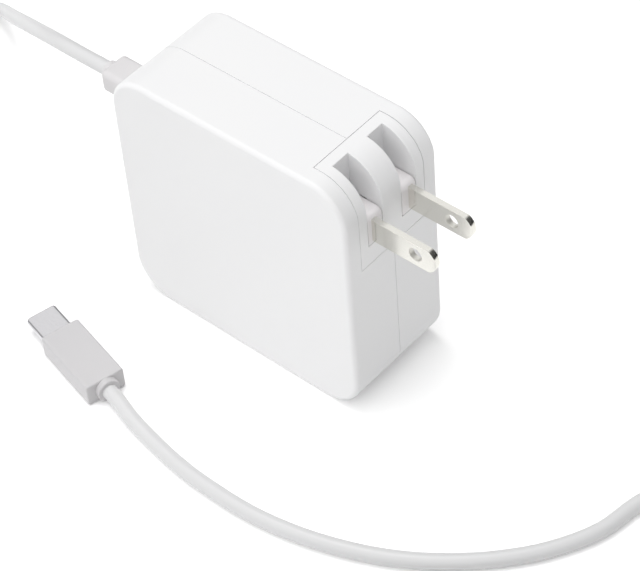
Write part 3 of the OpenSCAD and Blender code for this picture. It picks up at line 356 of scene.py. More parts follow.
# streak is how far the marks reach along X, Y and Z, in millimetres
metals = {
    # nickel over brass: bright, slightly yellow, with faint drawing marks along the blade
    "nickelPlate": {"colour": "#e9e8e2", "other": "#e1dfd8",
        "rough": (0.17, 0.23), "streak": (1.6, 0.12, 0.12)},
    # the same plating on the torn wall of a punched hole: dull and pale
    "punchedNickel": {"colour": "#efeeea", "other": "#e4e2dc",
        "rough": (0.50, 0.65), "streak": (0.3, 0.3, 0.3)},
    # plain bright steel, as rolled
    "brightSteel": {"colour": "#d6d5d6", "other": "#cbcacc",
        "rough": (0.16, 0.26), "streak": (0.2, 0.2, 1.2)},
    # deep-drawn stainless steel, polished: it mirrors the studio, barely blurred
    "stampedSteel": {"colour": "#dcdbdd", "other": "#d2d1d4",
        "rough": (0.09, 0.14), "streak": (0.9, 0.3, 0.3)},
    # rolled brass strip: warm yellow, half bright along the rolling
    "springBrass": {"colour": "#d0ab5c", "other": "#c39d4f",
        "rough": (0.22, 0.32), "streak": (0.2, 0.2, 1.0)},
    # thin gold over nickel on stamped contacts: deep yellow and bright
    "goldPlate": {"colour": "#e8c25e", "other": "#dfb650",
        "rough": (0.16, 0.24), "streak": (0.5, 0.2, 0.2)},
    # mill-finish aluminium: fine rolling lines
    "millAluminium": {"colour": "#d0d2d4", "other": "#c3c5c8",
        "rough": (0.30, 0.42), "streak": (4.0, 0.2, 0.2)},
    # rolled copper sheet left bare: pinkish and slightly dulled
    "bareCopper": {"colour": "#c98663", "other": "#b97553",
        "rough": (0.28, 0.4), "streak": (2.0, 0.2, 0.2)},
    # enamelled winding wire: copper under a thin amber varnish
    "enamelledCopper": {"colour": "#b4663a", "other": "#a35a30",
        "rough": (0.22, 0.32), "streak": (0.5, 0.5, 0.5)},
}
markDepth = 0.002  # mm, of the marks on every metal


def workedMetal(name, look):
    material, tree = newMaterial(name)
    place = addNode(tree, "ShaderNodeTexCoord").outputs["Object"]
    streaks = addNode(tree, "ShaderNodeMapping", inputs={
        "Vector": place, "Scale": tuple(1 / (size * mm) for size in look["streak"])})
    marks = addNode(tree, "ShaderNodeTexNoise", inputs={
        "Vector": streaks.outputs[0], "Scale": 1.0, "Detail": 3.0, "Roughness": 0.55})
    finishSurface(tree, {**look, "depth": markDepth}, marks.outputs["Fac"], marks.outputs["Fac"],
                  strength=0.25, shine={"Metallic": 1.0})
    return material


# sizes in millimetres, apart from the number of bands round the cord
patterned = {
    # extruded elastomer: a clean satin white with very faint bands from the die, along its length
    "cordJacket": {"colour": "#dddddd", "other": "#dadadb", "rough": (0.34, 0.42), "depth": 0.005,
        "bandLength": 30, "bands": 5, "skin": 0.5},
    # woven hook-and-loop tape: dull ribs of warp crossed by a finer weft, darker where the weave
    # sits lower, which is painted shade between the threads
    "strapWeave": {"colour": "#b9b9bb", "other": "#e6e6e7", "depth": 0.08,
        "warp": 0.5, "weft": 0.7},
    # glass-fibre laminate under green solder mask: copper areas show as lighter islands
    "solderMask": {"colour": "#1f7044", "other": "#0f4a2a", "depth": 0.035, "island": 5},
    # ground sintered ferrite: nearly black, dull, with open pores that painted shade darkens inside
    "sinteredFerrite": {"colour": "#242427", "other": "#39393d", "depth": 0.03, "pore": 0.35},
}


def cordJacket(name, look):
    material, tree = newMaterial(name)
    along = addNode(tree, "ShaderNodeUVMap", {"uv_map": "jacket"}).outputs["UV"]
    place = addNode(tree, "ShaderNodeTexCoord").outputs["Object"]
    lengthwise = addNode(tree, "ShaderNodeMapping", inputs={
        "Vector": along, "Scale": (1 / (look["bandLength"] * mm), look["bands"], 1.0)})
    bands = addNode(tree, "ShaderNodeTexNoise", inputs={
        "Vector": lengthwise.outputs[0], "Scale": 1.0, "Detail": 2.0})
    skin = addNode(tree, "ShaderNodeTexNoise", inputs={
        "Vector": place, "Scale": 1 / (look["skin"] * mm), "Detail": 2.0})
    finishSurface(tree, look, bands.outputs["Fac"], skin.outputs["Fac"], strength=0.4,
                  shine={"IOR": 1.5})
    return material


def strapWeave(name, look):
    material, tree = newMaterial(name)
    cloth = addNode(tree, "ShaderNodeUVMap", {"uv_map": "strap"}).outputs["UV"]
    # at a scale of 1 this node has 20 bands in 2 pi
    waves = [addNode(tree, "ShaderNodeTexWave", {"bands_direction": axis}, {
        "Vector": cloth, "Scale": 2 * math.pi / (20 * look[thread] * mm),
        "Distortion": 0.4, "Detail": 1.0}) for axis, thread in (("X", "warp"), ("Y", "weft"))]
    # the weave's height sets both the relief and the tone: painted shade darkens it where the
    # threads sit low
    height = addNode(tree, "ShaderNodeMath", {"operation": "MULTIPLY"}, {
        0: waves[0].outputs["Fac"], 1: waves[1].outputs["Fac"]}).outputs[0]
    finishSurface(tree, look, height, height, strength=0.8, shine={
        "Roughness": 0.85, "Sheen Weight": 0.3, "Sheen Roughness": 0.4})
    return material


def solderMask(name, look):
    material, tree = newMaterial(name)
    place = addNode(tree, "ShaderNodeTexCoord").outputs["Object"]
    islands = addNode(tree, "ShaderNodeTexVoronoi", {"distance": "CHEBYCHEV"}, {
        "Vector": place, "Scale": 1 / (look["island"] * mm)})
    edge = addNode(tree, "ShaderNodeMapRange", inputs={
        "Value": islands.outputs["Distance"], "From Min": 0.42, "From Max": 0.46}).outputs[0]
    finishSurface(tree, look, edge, edge, strength=0.5, shine={"Roughness": 0.3}, sunk=True)
    return material


def sinteredFerrite(name, look):
    material, tree = newMaterial(name)
    place = addNode(tree, "ShaderNodeTexCoord").outputs["Object"]
    # the pores are pits in the relief, and painted shade darkens them
    poresAndShade = addNode(tree, "ShaderNodeTexVoronoi", inputs={
        "Vector": place, "Scale": 1 / (look["pore"] * mm)}).outputs["Distance"]
    finishSurface(tree, look, poresAndShade, poresAndShade, strength=0.5, shine={"Roughness": 0.6})
    return material


finish = {name: mouldedPlastic(name, look) for name, look in plastics.items()}
finish.update({name: workedMetal(name, look) for name, look in metals.items()})
finish.update({name: make(name, patterned[name]) for name, make in (
    ("cordJacket", cordJacket), ("strapWeave", strapWeave),
    ("solderMask", solderMask), ("sinteredFerrite", sinteredFerrite))})

# the record's material slots and what each is finished with
slotFinish = {
    "case_plastic": "caseWhite", "rotor_plastic": "carrierWhite",
    "relief_plastic": "reliefElastomer", "grip_plastic": "gripSatinPaintedShade",
    "cord_jacket": "cordJacket", "strap_fabric": "strapWeave",
    "nickel": "nickelPlate", "steel": "brightSteel", "spring_brass": "springBrass",
    "gold_plating": "goldPlate", "aluminium_sheet": "millAluminium", "copper_sheet": "bareCopper",
    "copper_wire": "enamelledCopper", "ferrite": "sinteredFerrite", "circuit_board": "solderMask",
    "amber_film": "amberFilm", "black_plastic": "blackMoulding", "dark_sleeve": "darkSleeve",
    "brown_plastic": "brownMoulding", "yellow_plastic": "yellowMoulding",
    "blue_coating": "blueDip", "wire_white": "whiteInsulation", "wire_red": "redInsulation",
    "grey_rubber": "greySilicone",
}


def finishNodes():
    # a node comes with a material that is named for its slot
    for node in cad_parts.values():
        slot = node.data.materials[0].name
        node.data.materials.clear()
        node.data.materials.append(finish[slotFinish[slot]])


finishNodes()
print("materials made:", len(finish))


cord = {
    "diameter": 3.8,  # mm, as are the points
    "sides": 20,
    "fine": 4,  # steps between two listed points
    "leadStart": (-52.7, 0, 49.5),
    "leadRoute": [
        (-61.1, 0.3, 49), (-68, 1, 48.1), (-76, 2.9, 45.5), (-85.1, 6.2, 40.9),
        (-94.3, 10.4, 35.1), (-103.2, 15.2, 28.4), (-112.2, 20.4, 21.3), (-120.8, 25.7, 14.1),
        (-127.4, 29.8, 8.6), (-133.8, 32.1, 4.6), (-140.7, 31.5, 2.4), (-146.7, 28.3, 1.9),
        (-150.9, 22.9, 1.9), (-152.5, 16.2, 1.9), (-151.5, 10.1, 1.9), (-146.8, 0, 1.9),
        (-142.1, -10.1, 1.9), (-137.4, -20.2, 1.9), (-132.7, -30.3, 1.9), (-128, -40.4, 2),
        (-123.3, -50.5, 2.1), (-118.6, -60.6, 2.5)],
    "coilMiddle": (-84, -64),
    "coilStart": 210,  # degrees
    "coilTurns": 6.125,
    "coilRadius": 21.8,
    "coilPitch": 4.4,
    "coilLow": 2.8,
    "coilSteps": 24,  # points for each turn
    "coilClimb": 0.5,  # of a turn, from the lower layer to the upper one
    "frontRoute": [
        (-76, -95.6, 6.2), (-64, -98.1, 4.2), (-50, -100.8, 2.4), (-36, -103.3, 1.9),
        (-22, -105.2, 1.9), (-8, -105.2, 1.9), (5, -102, 1.9), (17, -95.6, 1.9), (29, -87.8, 1.9),
        (41, -79.1, 1.9), (53, -70, 1.9), (65, -60.7, 1.9), (77, -51.2, 1.9), (89, -41.8, 1.9),
        (101, -32.4, 1.9), (114, -22.9, 1.9), (127, -14, 1.9), (131.3, -8.9, 1.9),
        (133.1, -2.4, 1.9), (132, 4.1, 1.9), (128.3, 9.7, 1.9), (122.6, 13.2, 1.9),
        (116, 14, 1.9), (109.6, 12, 1.9), (104.7, 7.6, 1.9), (102, 1.4, 1.9), (99.8, -9.9, 1.9),
        (94.2, -20.8, 1.9), (87.1, -29.5, 1.9), (78.9, -36.9, 1.9), (69.8, -43.1, 1.9),
        (59.5, -48, 1.9), (48, -51.7, 1.9), (35, -53.9, 1.9), (20, -54.1, 1.9),
        (11.6, -53.4, 1.9), (2.2, -51.8, 1.9), (-5, -50.4, 2.5)],
}

plug = {
    "place": (-16, -47.4),  # mm
    "turn": 166,  # degrees
    "gripLength": 20.5, "gripWidth": 10.4, "gripHeight": 6.2,
    "gripCorner": 0.7, "gripEnd": 0.4, "gripFront": 0.35,  # its roundings
    "collarLength": 1.5, "collarRadius": 3.0, "collarSeat": 0.2, "collarEdge": 0.3,
    "shellWidth": 8.34, "shellHeight": 2.56, "shellReach": 9.0, "shellRoot": 5.0,
    "shellWall": 0.3,
    "shellFlat": 0.02,  # half the flat between the two quarters of each round side
    "shellGap": 0.01,  # between the outer and inner wall at the root
    # the rolled edge of the mouth: how far back from the tip, and how far in
    "shellLip": [(0.3, 0), (0.12, 0.03), (0.03, 0.084), (0, 0.14), (0, 0.26), (0.06, 0.3)],
}
# from the plug's own frame, +X towards its tip, in millimetres, to where it lies
plugTurn = (Matrix.Translation(Vector((*plug["place"], plug["gripHeight"] / 2)) * mm)
            @ Matrix.Rotation(math.radians(plug["turn"]), 4, "Z") @ Matrix.Scale(mm, 4))


def coilRadii():
    # the radii of the widest and the narrowest turn, at the cord's middle
    half = cord["coilTurns"] / 2
    widest = cord["coilRadius"] + half * cord["coilPitch"] / 2
    return widest, widest - half * cord["coilPitch"]


def coilPoint(turn):
    # inward on the floor, and outward again on top of that
    half = cord["coilTurns"] / 2
    widest, narrowest = coilRadii()
    if turn < half:
        radius = widest - turn * cord["coilPitch"]
    else:
        radius = narrowest + (turn - half) * cord["coilPitch"]
    climb = min(max((turn - half) / cord["coilClimb"] + 0.5, 0), 1)
    angle = math.radians(cord["coilStart"] + 360 * turn)
    return Vector((cord["coilMiddle"][0] + radius * math.cos(angle),
                   cord["coilMiddle"][1] + radius * math.sin(angle),
                   cord["coilLow"] + cord["coilPitch"] * climb))


def coilHeading(turn):
    angle = math.radians(cord["coilStart"] + 360 * turn)
    return Vector((-math.sin(angle), math.cos(angle), 0))


def cordPoints():
    step = cord["diameter"]
    start = Vector(cord["leadStart"])
    count = round(cord["coilTurns"] * cord["coilSteps"])
    coil = [coilPoint(i * cord["coilTurns"] / count) for i in range(count + 1)]
    inward, outward = coilHeading(0), coilHeading(cord["coilTurns"])
    end = plugTurn @ Vector((-plug["collarLength"], 0, 0)) / mm
    ahead = (plugTurn.to_3x3() @ Vector((1, 0, 0))).normalized()
    points = [start, start - Vector((step, 0, 0))]
    points += [Vector(p) for p in cord["leadRoute"]]
    points += [coil[0] - 2 * step * inward, coil[0] - step * inward]
    points += coil
    points += [coil[-1] + step * outward, coil[-1] + 2 * step * outward]
    points += [Vector(p) for p in cord["frontRoute"]]
    points += [end - step * ahead, end]
    return points


def smoothLine(points, steps):
    # a curve through every point, its tangents set by the neighbours and their distances
    line = []
    for i in range(len(points) - 1):
        before = points[max(i - 1, 0)]
        here, after = points[i], points[i + 1]
        beyond = points[min(i + 2, len(points) - 1)]
        third = (after - here).length / 3
        leave = (after - before).normalized() if i else (after - here).normalized()
        reach = (beyond - here).normalized() if i + 2 < len(points) else (after - here).normalized()
        handles = here + leave * third, after - reach * third
        line += interpolate_bezier(here, *handles, after, steps + 1)[:-1]
    return line + [points[-1]]


def tubeAlong(name, line, radius, sides, uvName):
    bm = bmesh.new()
    uv = bm.loops.layers.uv.new(uvName)
    side = Vector((0, 0, 1))
    rows, lengths = [], []
    travelled = 0
    for i, point in enumerate(line):
        ahead = (line[min(i + 1, len(line) - 1)] - line[max(i - 1, 0)]).normalized()
        side = (side - side.dot(ahead) * ahead).normalized()
        other = ahead.cross(side)
        if i:
            travelled += (point - line[i - 1]).length
        lengths.append(travelled)
        turns = [2 * math.pi * k / sides for k in range(sides)]
        rows.append([
            bm.verts.new((point + radius * (math.cos(turn) * side + math.sin(turn) * other)) * mm)
            for turn in turns])
    for i in range(len(rows) - 1):
        for k in range(sides):
            j = (k + 1) % sides
            face = bm.faces.new((rows[i][k], rows[i + 1][k], rows[i + 1][j], rows[i][j]))
            across = (k / sides, k / sides, (k + 1) / sides, (k + 1) / sides)
            along = (lengths[i], lengths[i + 1], lengths[i + 1], lengths[i])
            for loop, u, v in zip(face.loops, along, across):
                loop[uv].uv = (u * mm, v)
    bm.faces.new(rows[0])
    bm.faces.new(list(reversed(rows[-1])))
    piece = meshPiece(name, bm)
    piece.data.shade_smooth()
    piece.data.set_sharp_from_angle(angle=math.radians(60))
    return piece, lengths[-1]


cordLine = smoothLine(cordPoints(), cord["fine"])
cordPiece, cordLength = tubeAlong("cord_jacket", cordLine, cord["diameter"] / 2, cord["sides"],
                                  "jacket")
dress(cordPiece, "adapter", finish["cordJacket"], "cord_jacket",
      "cord_lead", "cord_coil", "cord_front")
print("cord laid:", round(cordLength), "mm")


strap = {
    "angle": 60,  # degrees, where it stands on the coil
    "width": 6.0, "thick": 0.7, "corner": 1.9, "cornerSteps": 8,  # mm
    "innerGap": 0.7, "outerGap": 0.3, "floorGap": 0.1,
    "bevel": 0.15,  # of its thickness, along each edge
    "edgeWeave": (0.2, 0.4, 0.2),  # mm of weave over an edge: its bevel, side and other bevel
}


def strapLoop():
    # flat woven strap, closed round the coil's turns
    widest, narrowest = coilRadii()
    radius = cord["diameter"] / 2
    low = cord["coilLow"] - radius - strap["floorGap"]
    high = cord["coilLow"] + cord["coilPitch"] + radius + strap["outerGap"]
    inner = narrowest - radius - strap["innerGap"]
    outer = widest + radius + strap["outerGap"]
    middle = ((inner + outer) / 2, (low + high) / 2)
    halfWide, halfHigh = (outer - inner) / 2, (high - low) / 2
    thick, bevel = strap["thick"], strap["bevel"]
    insideLine, outsideLine = [
        roundedOutline(halfWide + out, halfHigh + out, strap["corner"] + out,
                       strap["cornerSteps"], middle) for out in (0, thick)]
    # once round the strap's own section: how far through it, which side, and if at full width
    section = [(0, -1, False), (0, 1, False), (bevel, 1, True), (1 - bevel, 1, True),
               (1, 1, False), (1, -1, False), (1 - bevel, -1, True), (bevel, -1, True)]
    weave = [0]
    for stretch in 2 * (strap["width"], *strap["edgeWeave"]):
        weave.append(weave[-1] + stretch)
    bm = bmesh.new()
    uv = bm.loops.layers.uv.new("strap")
    rows, travelled = [], [0]
    count = len(insideLine)
    for i in range(count):
        inside, outside = Vector(insideLine[i]), Vector(outsideLine[i])
        row = []
        for depth, side, full in section:
            point = inside.lerp(outside, depth)
            across = side * (strap["width"] / 2 - (0 if full else bevel * thick))
            row.append(bm.verts.new((point.x, across, point.y)))
        rows.append(row)
        ahead = Vector(outsideLine[(i + 1) % count]) - outside
        travelled.append(travelled[-1] + ahead.length)
    for i in range(count):
        near, far = rows[i], rows[(i + 1) % count]
        for k in range(len(section)):
            j = (k + 1) % len(section)
            face = bm.faces.new((near[k], near[j], far[j], far[k]))
            along = (travelled[i], travelled[i], travelled[i + 1], travelled[i + 1])
            across = (weave[k], weave[k + 1], weave[k + 1], weave[k])
            for loop, u, v in zip(face.loops, along, across):
                loop[uv].uv = (u * mm, v * mm)
    turn = (Matrix.Translation(Vector((*cord["coilMiddle"], 0)) * mm)
            @ Matrix.Rotation(math.radians(strap["angle"]), 4, "Z") @ Matrix.Scale(mm, 4))
    piece = meshPiece("cord_strap", bm, turn)
    smooth(piece, angle=50)
    return dress(piece, "adapter", finish["strapWeave"], "strap_fabric", "cord_tie")


strapPiece = strapLoop()
print("coil tied")


case = {
    "length": 70, "height": 70, "thickness": 31.5,  # mm
    "corner": 10, "edge": 1.25, "wall": 2, "insideCorner": 0.5,
    "cornerSteps": 32, "edgeSteps": 8,
    "seamWidth": 0.16, "seamDepth": 0.2, "seamRounding": 0.06,
    "seamStop": 0.002,  # how far short of the seam's plane each half ends
    "panelBack": 12, "panelDrop": 25, "panelHalf": 11.15, "panelGap": 0.12,
    "neck": (5.3, 4.7), "neckReach": 4, "exitHeight": 49.5,
    "past": 5,  # how far a cut reaches past the outside
}
caseHalf = case["length"] / 2


def caseRing(inset, depth):
    # one loop of the case's outline, drawn in by an inset, at a depth along Y
    half = case["height"] / 2
    points = roundedOutline(caseHalf - inset, half - inset, case["corner"] - inset,
                            case["cornerSteps"], (0, half))
    return [(x * mm, depth * mm, z * mm) for x, z in points]


def shellProfile():
    # (inset, distance from the seam's plane): from the large face's edge round to the seam,
    # and back along the inside
    half, edge, wall = case["thickness"] / 2, case["edge"], case["wall"]
    turns = [math.radians(90 * i / case["edgeSteps"]) for i in range(case["edgeSteps"] + 1)]
    outside = [(edge - edge * math.sin(t), half - edge * (1 - math.cos(t))) for t in turns]
    lip, rounding, groove = case["seamWidth"] / 2, case["seamRounding"], case["seamDepth"]
    bulge = rounding * 0.3  # where a quarter round has its middle
    seam = [(0, lip + rounding), (bulge, lip + bulge), (rounding, lip), (groove, lip),
            (groove, case["seamStop"]), (wall, case["seamStop"])]
    cut = case["insideCorner"]
    return outside + seam + [(wall, half - wall - cut), (wall + cut, half - wall)]


def makeShell(name, node, side):
    bm = bmesh.new()
    loft(bm, [caseRing(inset, side * depth) for inset, depth in shellProfile()])
    shell = meshPiece(name, bm)
    gap, past = case["panelGap"], case["past"]
    half = case["panelHalf"] + gap
    corner = (caseHalf - case["panelBack"] - gap, -half, case["height"] - case["panelDrop"] - gap)
    combine(shell, block("panelCut", corner, (caseHalf + past, half, case["height"] + past)),
            "DIFFERENCE")
    across, tall, level = case["neck"][0] / 2, case["neck"][1] / 2, case["exitHeight"]
    combine(shell, block("neckCut", (-caseHalf - past, -across, level - tall),
                         (-caseHalf + case["neckReach"], across, level + tall)), "DIFFERENCE")
    smooth(shell, angle=28)
    dress(shell, "adapter", finish["caseWhite"], "case_plastic", node)


makeShell("front_case_half", "front_shell", -1)
makeShell("back_case_half", "back_shell", 1)
print("case made")


mouth = {
    "pivot": (33, 50.8),  # mm, x and z; the profiles below are drawn from the pivot
    "slotInner": 3.25, "slotOuter": 8.4, "slotBack": 7.1, "windowLow": 0.4,
    "slotPast": (20, 40),  # how far the slots are cut, past the end and past the top
    "pocket": 9.7, "drum": 12.2, "lipInside": 0.6,
    "bodyHalf": 10.6, "finBack": 2.6, "finFoot": 2.0,
    "pocketTop": 8.0, "tailPocket": 11.2, "tailTop": 6.3, "tailBand": (5.3, 7.9),
    "flangeHalf": 12.4, "flangeThick": 1.2, "overhang": 1.6,
    "rim": 0.16, "panelRim": 0.06, "rimSegments": 3,
    "curve": 28,  # steps of the panel's round corner, none close to the slots' back
    "near": 0.02, "nearEdge": 0.01,  # what counts as on a surface and as at an edge
}


def fromPivot(profile):
    return [(mouth["pivot"][0] + x, mouth["pivot"][1] + z) for x, z in profile]


def outlineCorner(inset, steps):
    # the case's upper front corner, from the top round to the end
    middle = (caseHalf - case["corner"], case["height"] - case["corner"])
    return arcPoints(middle, case["corner"] - inset, 90, 0, steps)


def clippedCircle(radius, limit, steps=96):
    # a circle round the pivot, cut off flat where x passes the limit
    angle = math.degrees(math.acos(limit / radius))
    return arcPoints((0, 0), radius, angle, 360 - angle, steps)


def bodyProfile():
    # the body behind the panel: half a drum round the pivot and the block that holds the slots
    inset = case["wall"] / 2
    px, pz = mouth["pivot"]
    left, top = -(mouth["slotBack"] + case["wall"]), case["height"] - inset - pz
    drum = mouth["drum"]
    shoulder = math.sqrt(drum ** 2 - left ** 2)
    shoulderAngle = math.degrees(math.atan2(shoulder, left))
    profile = [(left, top), (left, shoulder)]
    profile += arcPoints((0, 0), drum, shoulderAngle, 270, steps=60)[1:]
    # straight up from below the pivot to the case's round corner, and along that to the top
    reach = case["corner"] - inset
    middleX, middleZ = caseHalf - case["corner"] - px, case["height"] - case["corner"] - pz
    profile += [(0, math.sqrt(reach ** 2 - middleX ** 2) + middleZ)]
    corner = [(x - px, z - pz) for x, z in outlineCorner(inset, mouth["curve"])]
    profile += [(x, z) for x, z in reversed(corner) if x < 0 and z < top]
    return profile + [(middleX, top)]


def barProfile():
    # room for the carriers' bar behind the fin between the slots, and below it
    m = mouth
    low, lip, foot = m["windowLow"], m["lipInside"], m["finFoot"]
    rimTop = math.degrees(math.acos(-m["finBack"] / m["pocket"]))
    barEnd = 360 - math.degrees(math.acos(lip / m["pocket"]))
    footStart = 270 + math.degrees(math.asin(lip / foot))
    footEnd = 180 + math.degrees(math.asin(low / foot))
    profile = arcPoints((0, 0), m["pocket"], rimTop, barEnd, steps=90)
    profile += [(lip, -math.sqrt(foot ** 2 - lip ** 2))]
    profile += arcPoints((0, 0), foot, footStart, footEnd, steps=16)[1:] + [(-m["finBack"], -low)]
    return [(x, min(z, m["pocketTop"])) for x, z in profile]


def makeHousing():
    m, wall, top = mouth, case["wall"], case["height"]
    back, drop = caseHalf - case["panelBack"], top - case["panelDrop"]
    outer = [(back, top)] + outlineCorner(0, m["curve"]) + [(caseHalf, drop)]
    inner = [(caseHalf - wall, drop)] + list(reversed(outlineCorner(wall, m["curve"])))
    inner += [(back, top - wall)]
    panel = extruded("plug_corner", outer + inner, -case["panelHalf"], case["panelHalf"])
    combine(panel, extruded("housingBody", fromPivot(bodyProfile()), -m["bodyHalf"], m["bodyHalf"]),
            "UNION")
    # flanges that reach behind the shells' edges
    edge, thick = m["flangeHalf"], m["flangeThick"]
    combine(panel, block("flange", (back - m["overhang"], -edge, top - wall - thick),
                         (caseHalf - case["corner"], edge, top - wall)), "UNION")
    combine(panel, block("flange", (caseHalf - wall - thick, -edge, drop - m["overhang"]),
                         (caseHalf - wall, edge, top - case["corner"])), "UNION")
    slotBand, low = (m["slotInner"], m["slotOuter"]), -m["windowLow"]
    endPast, topPast = m["slotPast"]
    slot = [(-m["slotBack"], low), (endPast, low), (endPast, topPast), (-m["slotBack"], topPast)]
    drum = clippedCircle(m["pocket"], m["lipInside"])
    tail = [(x, min(z, m["tailTop"])) for x, z in clippedCircle(m["tailPocket"], m["lipInside"])]
    for sign in (-1, 1):
        for name, profile, band in (("slot", slot, slotBand), ("drum", drum, slotBand),
                                    ("tail", tail, m["tailBand"])):
            near, far = sorted(sign * side for side in band)
            combine(panel, extruded(name, fromPivot(profile), near, far), "DIFFERENCE")
    combine(panel, extruded("barPocket", fromPivot(barProfile()), -m["slotInner"], m["slotInner"]),
            "DIFFERENCE")

    def onRim(point):
        # the slots' mouths, where they open through the outer surface, and less on the panel's rim
        dx, dz = point.x - (caseHalf - case["corner"]), point.z - (top - case["corner"])
        if dx < 0:
            off = point.z - top
        elif dz < 0:
            off = point.x - caseHalf
        else:
            off = math.hypot(dx, dz) - case["corner"]
        if abs(off) > m["near"]:
            return 0
        ownRim = (abs(point.y) > case["panelHalf"] - m["nearEdge"]
                  or point.z < drop + m["nearEdge"] or point.x < back + m["nearEdge"])
        return m["panelRim"] / m["rim"] if ownRim else 1

    roundEdges(panel, m["rim"], m["rimSegments"], onRim)
    smooth(panel, angle=28)
    dress(panel, "adapter", finish["caseWhite"], "case_plastic", "plug_housing")


makeHousing()
print("housing made")


rotor = {
    "top": 8.0, "under": 0.05, "heel": 0.35, "heelStart": 4.6, "radius": 9.3,  # mm from the pivot
    "front": 2.0, "edge": 1.6, "boss": 1.24, "bore": 0.74, "boreReach": 20, "sideGap": 0.15,
    "barFront": 3.4, "barLow": 0.5, "barHigh": 7.6, "round": 0.22,
}


def makeRotor():
    # a carrier for each blade, and the bar behind the fin that joins them
    r = rotor
    backAngle, heelAngle, lowAngle, highAngle = [math.degrees(math.asin(r[key] / r["radius"]))
                                                 for key in ("top", "heel", "barLow", "barHigh")]
    profile = arcPoints((r["front"] - r["edge"], r["top"] - r["edge"]), r["edge"], 0, 90, steps=12)
    profile += arcPoints((0, 0), r["radius"], 180 - backAngle, 180 - heelAngle, steps=30)
    profile += [(-r["heelStart"], r["heel"]), (-r["heelStart"], -r["under"])]
    meet = math.degrees(math.asin(r["under"] / r["boss"]))
    profile += arcPoints((0, 0), r["boss"], 180 + meet, 360 - meet, steps=24)
    profile += [(r["front"], -r["under"])]
    sides = [mouth["slotInner"] + r["sideGap"], mouth["slotOuter"] - r["sideGap"]]
    carriers = [extruded("carrier", fromPivot(profile), *sorted(sign * side for side in sides))
                for sign in (-1, 1)]
    reach = mouth["slotInner"] + 2 * r["sideGap"]
    bar = [(-r["barFront"], r["barLow"]), (-r["barFront"], r["barHigh"])]
    bar += arcPoints((0, 0), r["radius"], 180 - highAngle, 180 - lowAngle, steps=24)
    piece = extruded("prong_carrier", fromPivot(bar), -reach, reach)
    for carrier in carriers:
        combine(piece, carrier, "UNION")
    bore = arcPoints((0, 0), r["bore"], 0, 360, steps=32)[:-1]
    combine(piece, extruded("bore", fromPivot(bore), -r["boreReach"], r["boreReach"]), "DIFFERENCE")

    def onEdge(point):
        x, z = point.x - mouth["pivot"][0], point.z - mouth["pivot"][1]
        atSide = min(abs(abs(point.y) - side) for side in sides) < mouth["nearEdge"]
        front, top = r["front"] - mouth["near"], r["top"] - mouth["near"]
        outside = x > front or z > top or (x > 0 and z > r["top"] - r["edge"])
        return 1 if outside and atSide else 0

    roundEdges(piece, r["round"], segments=3, test=onEdge)
    smooth(piece, angle=28)
    dress(piece, "prongs", finish["carrierWhite"], "rotor_plastic", "prong_rotor")


makeRotor()
print("carrier made")


blade = {
    "pitch": 12.7, "thick": 1.5, "wide": 6.4, "middle": 54.6, "tip": 52.9,  # mm
    "tipRadius": 3.5, "bevel": 0.6, "tipThick": 1.3, "hole": 3.6, "holeAt": 47.2,
    "root": 33.8, "tangWide": 3.6, "tangBack": 23.65,
    "rootPlain": 0.5,  # how far from the root the edges stay as they are
    "holeEdge": 0.04375,  # rounding round the hole, and the share of it along the outline
    "outlineShare": 0.625,
    "holeNear": 0.05, "holeWall": 0.03, "wallTilt": 0.5,  # which edges and faces are the hole's
}


def makeBlade(name, node, side):
    b = blade
    half, hole, tang = b["wide"] / 2, b["hole"] / 2, b["tangWide"] / 2
    reach = math.degrees(math.asin(half / b["tipRadius"]))
    middle, root, back = b["middle"], b["root"], b["tangBack"]
    outline = [(back, middle - tang), (root, middle - tang), (root, middle - half)]
    outline += arcPoints((b["tip"] - b["tipRadius"], middle), b["tipRadius"], -reach, reach,
                         steps=40)
    outline += [(root, middle + half), (root, middle + tang), (back, middle + tang)]
    y, thick = side * b["pitch"] / 2, b["thick"]
    piece = extruded(name, outline, y - thick / 2, y + thick / 2)
    punch = arcPoints((b["holeAt"], middle), hole, 0, 360, steps=48)[:-1]
    combine(piece, extruded("punch", punch, y - thick, y + thick), "DIFFERENCE")
    # the last stretch is thinned towards the tip
    bm = bmesh.new()
    bm.from_mesh(piece.data)
    start = (b["tip"] - b["bevel"]) * mm
    bmesh.ops.bisect_plane(bm, geom=bm.verts[:] + bm.edges[:] + bm.faces[:],
                           plane_co=(start, 0, 0), plane_no=(1, 0, 0), dist=weld)
    for vertex in bm.verts:
        if vertex.co.x > start + weld:
            share = (vertex.co.x - start) / (b["bevel"] * mm)
            thin = 1 - share * (1 - b["tipThick"] / thick)
            vertex.co.y = y * mm + (vertex.co.y - y * mm) * thin
    bm.to_mesh(piece.data)
    bm.free()

    def onEdge(point):
        if point.x < root + b["rootPlain"]:
            return 0
        away = math.hypot(point.x - b["holeAt"], point.z - middle)
        return 1 if away < hole + b["holeNear"] else b["outlineShare"]

    roundEdges(piece, b["holeEdge"], segments=3, test=onEdge, fromAngle=50)
    smooth(piece, angle=24)
    dress(piece, "prongs", finish["nickelPlate"], "nickel", node)
    piece.data.materials.append(finish["punchedNickel"])
    for face in piece.data.polygons:
        away = math.hypot(face.center.x / mm - b["holeAt"], face.center.z / mm - middle)
        if away < hole + b["holeWall"] and abs(face.normal.y) < b["wallTilt"]:
            face.material_index = 1


makeBlade("blade_left", "prong_blade_left", -1)
makeBlade("blade_right", "prong_blade_right", 1)
print("blades made")


relief = {
    "length": 16.2, "wide": 8.6, "high": 6.4, "corner": 1.6, "end": 1.1,  # mm
    "seat": 0.3,  # how deep it stands in the case
    "collar": 4.9, "collarLength": 1.5, "collarEdge": 0.35, "collarSeat": 1,
}


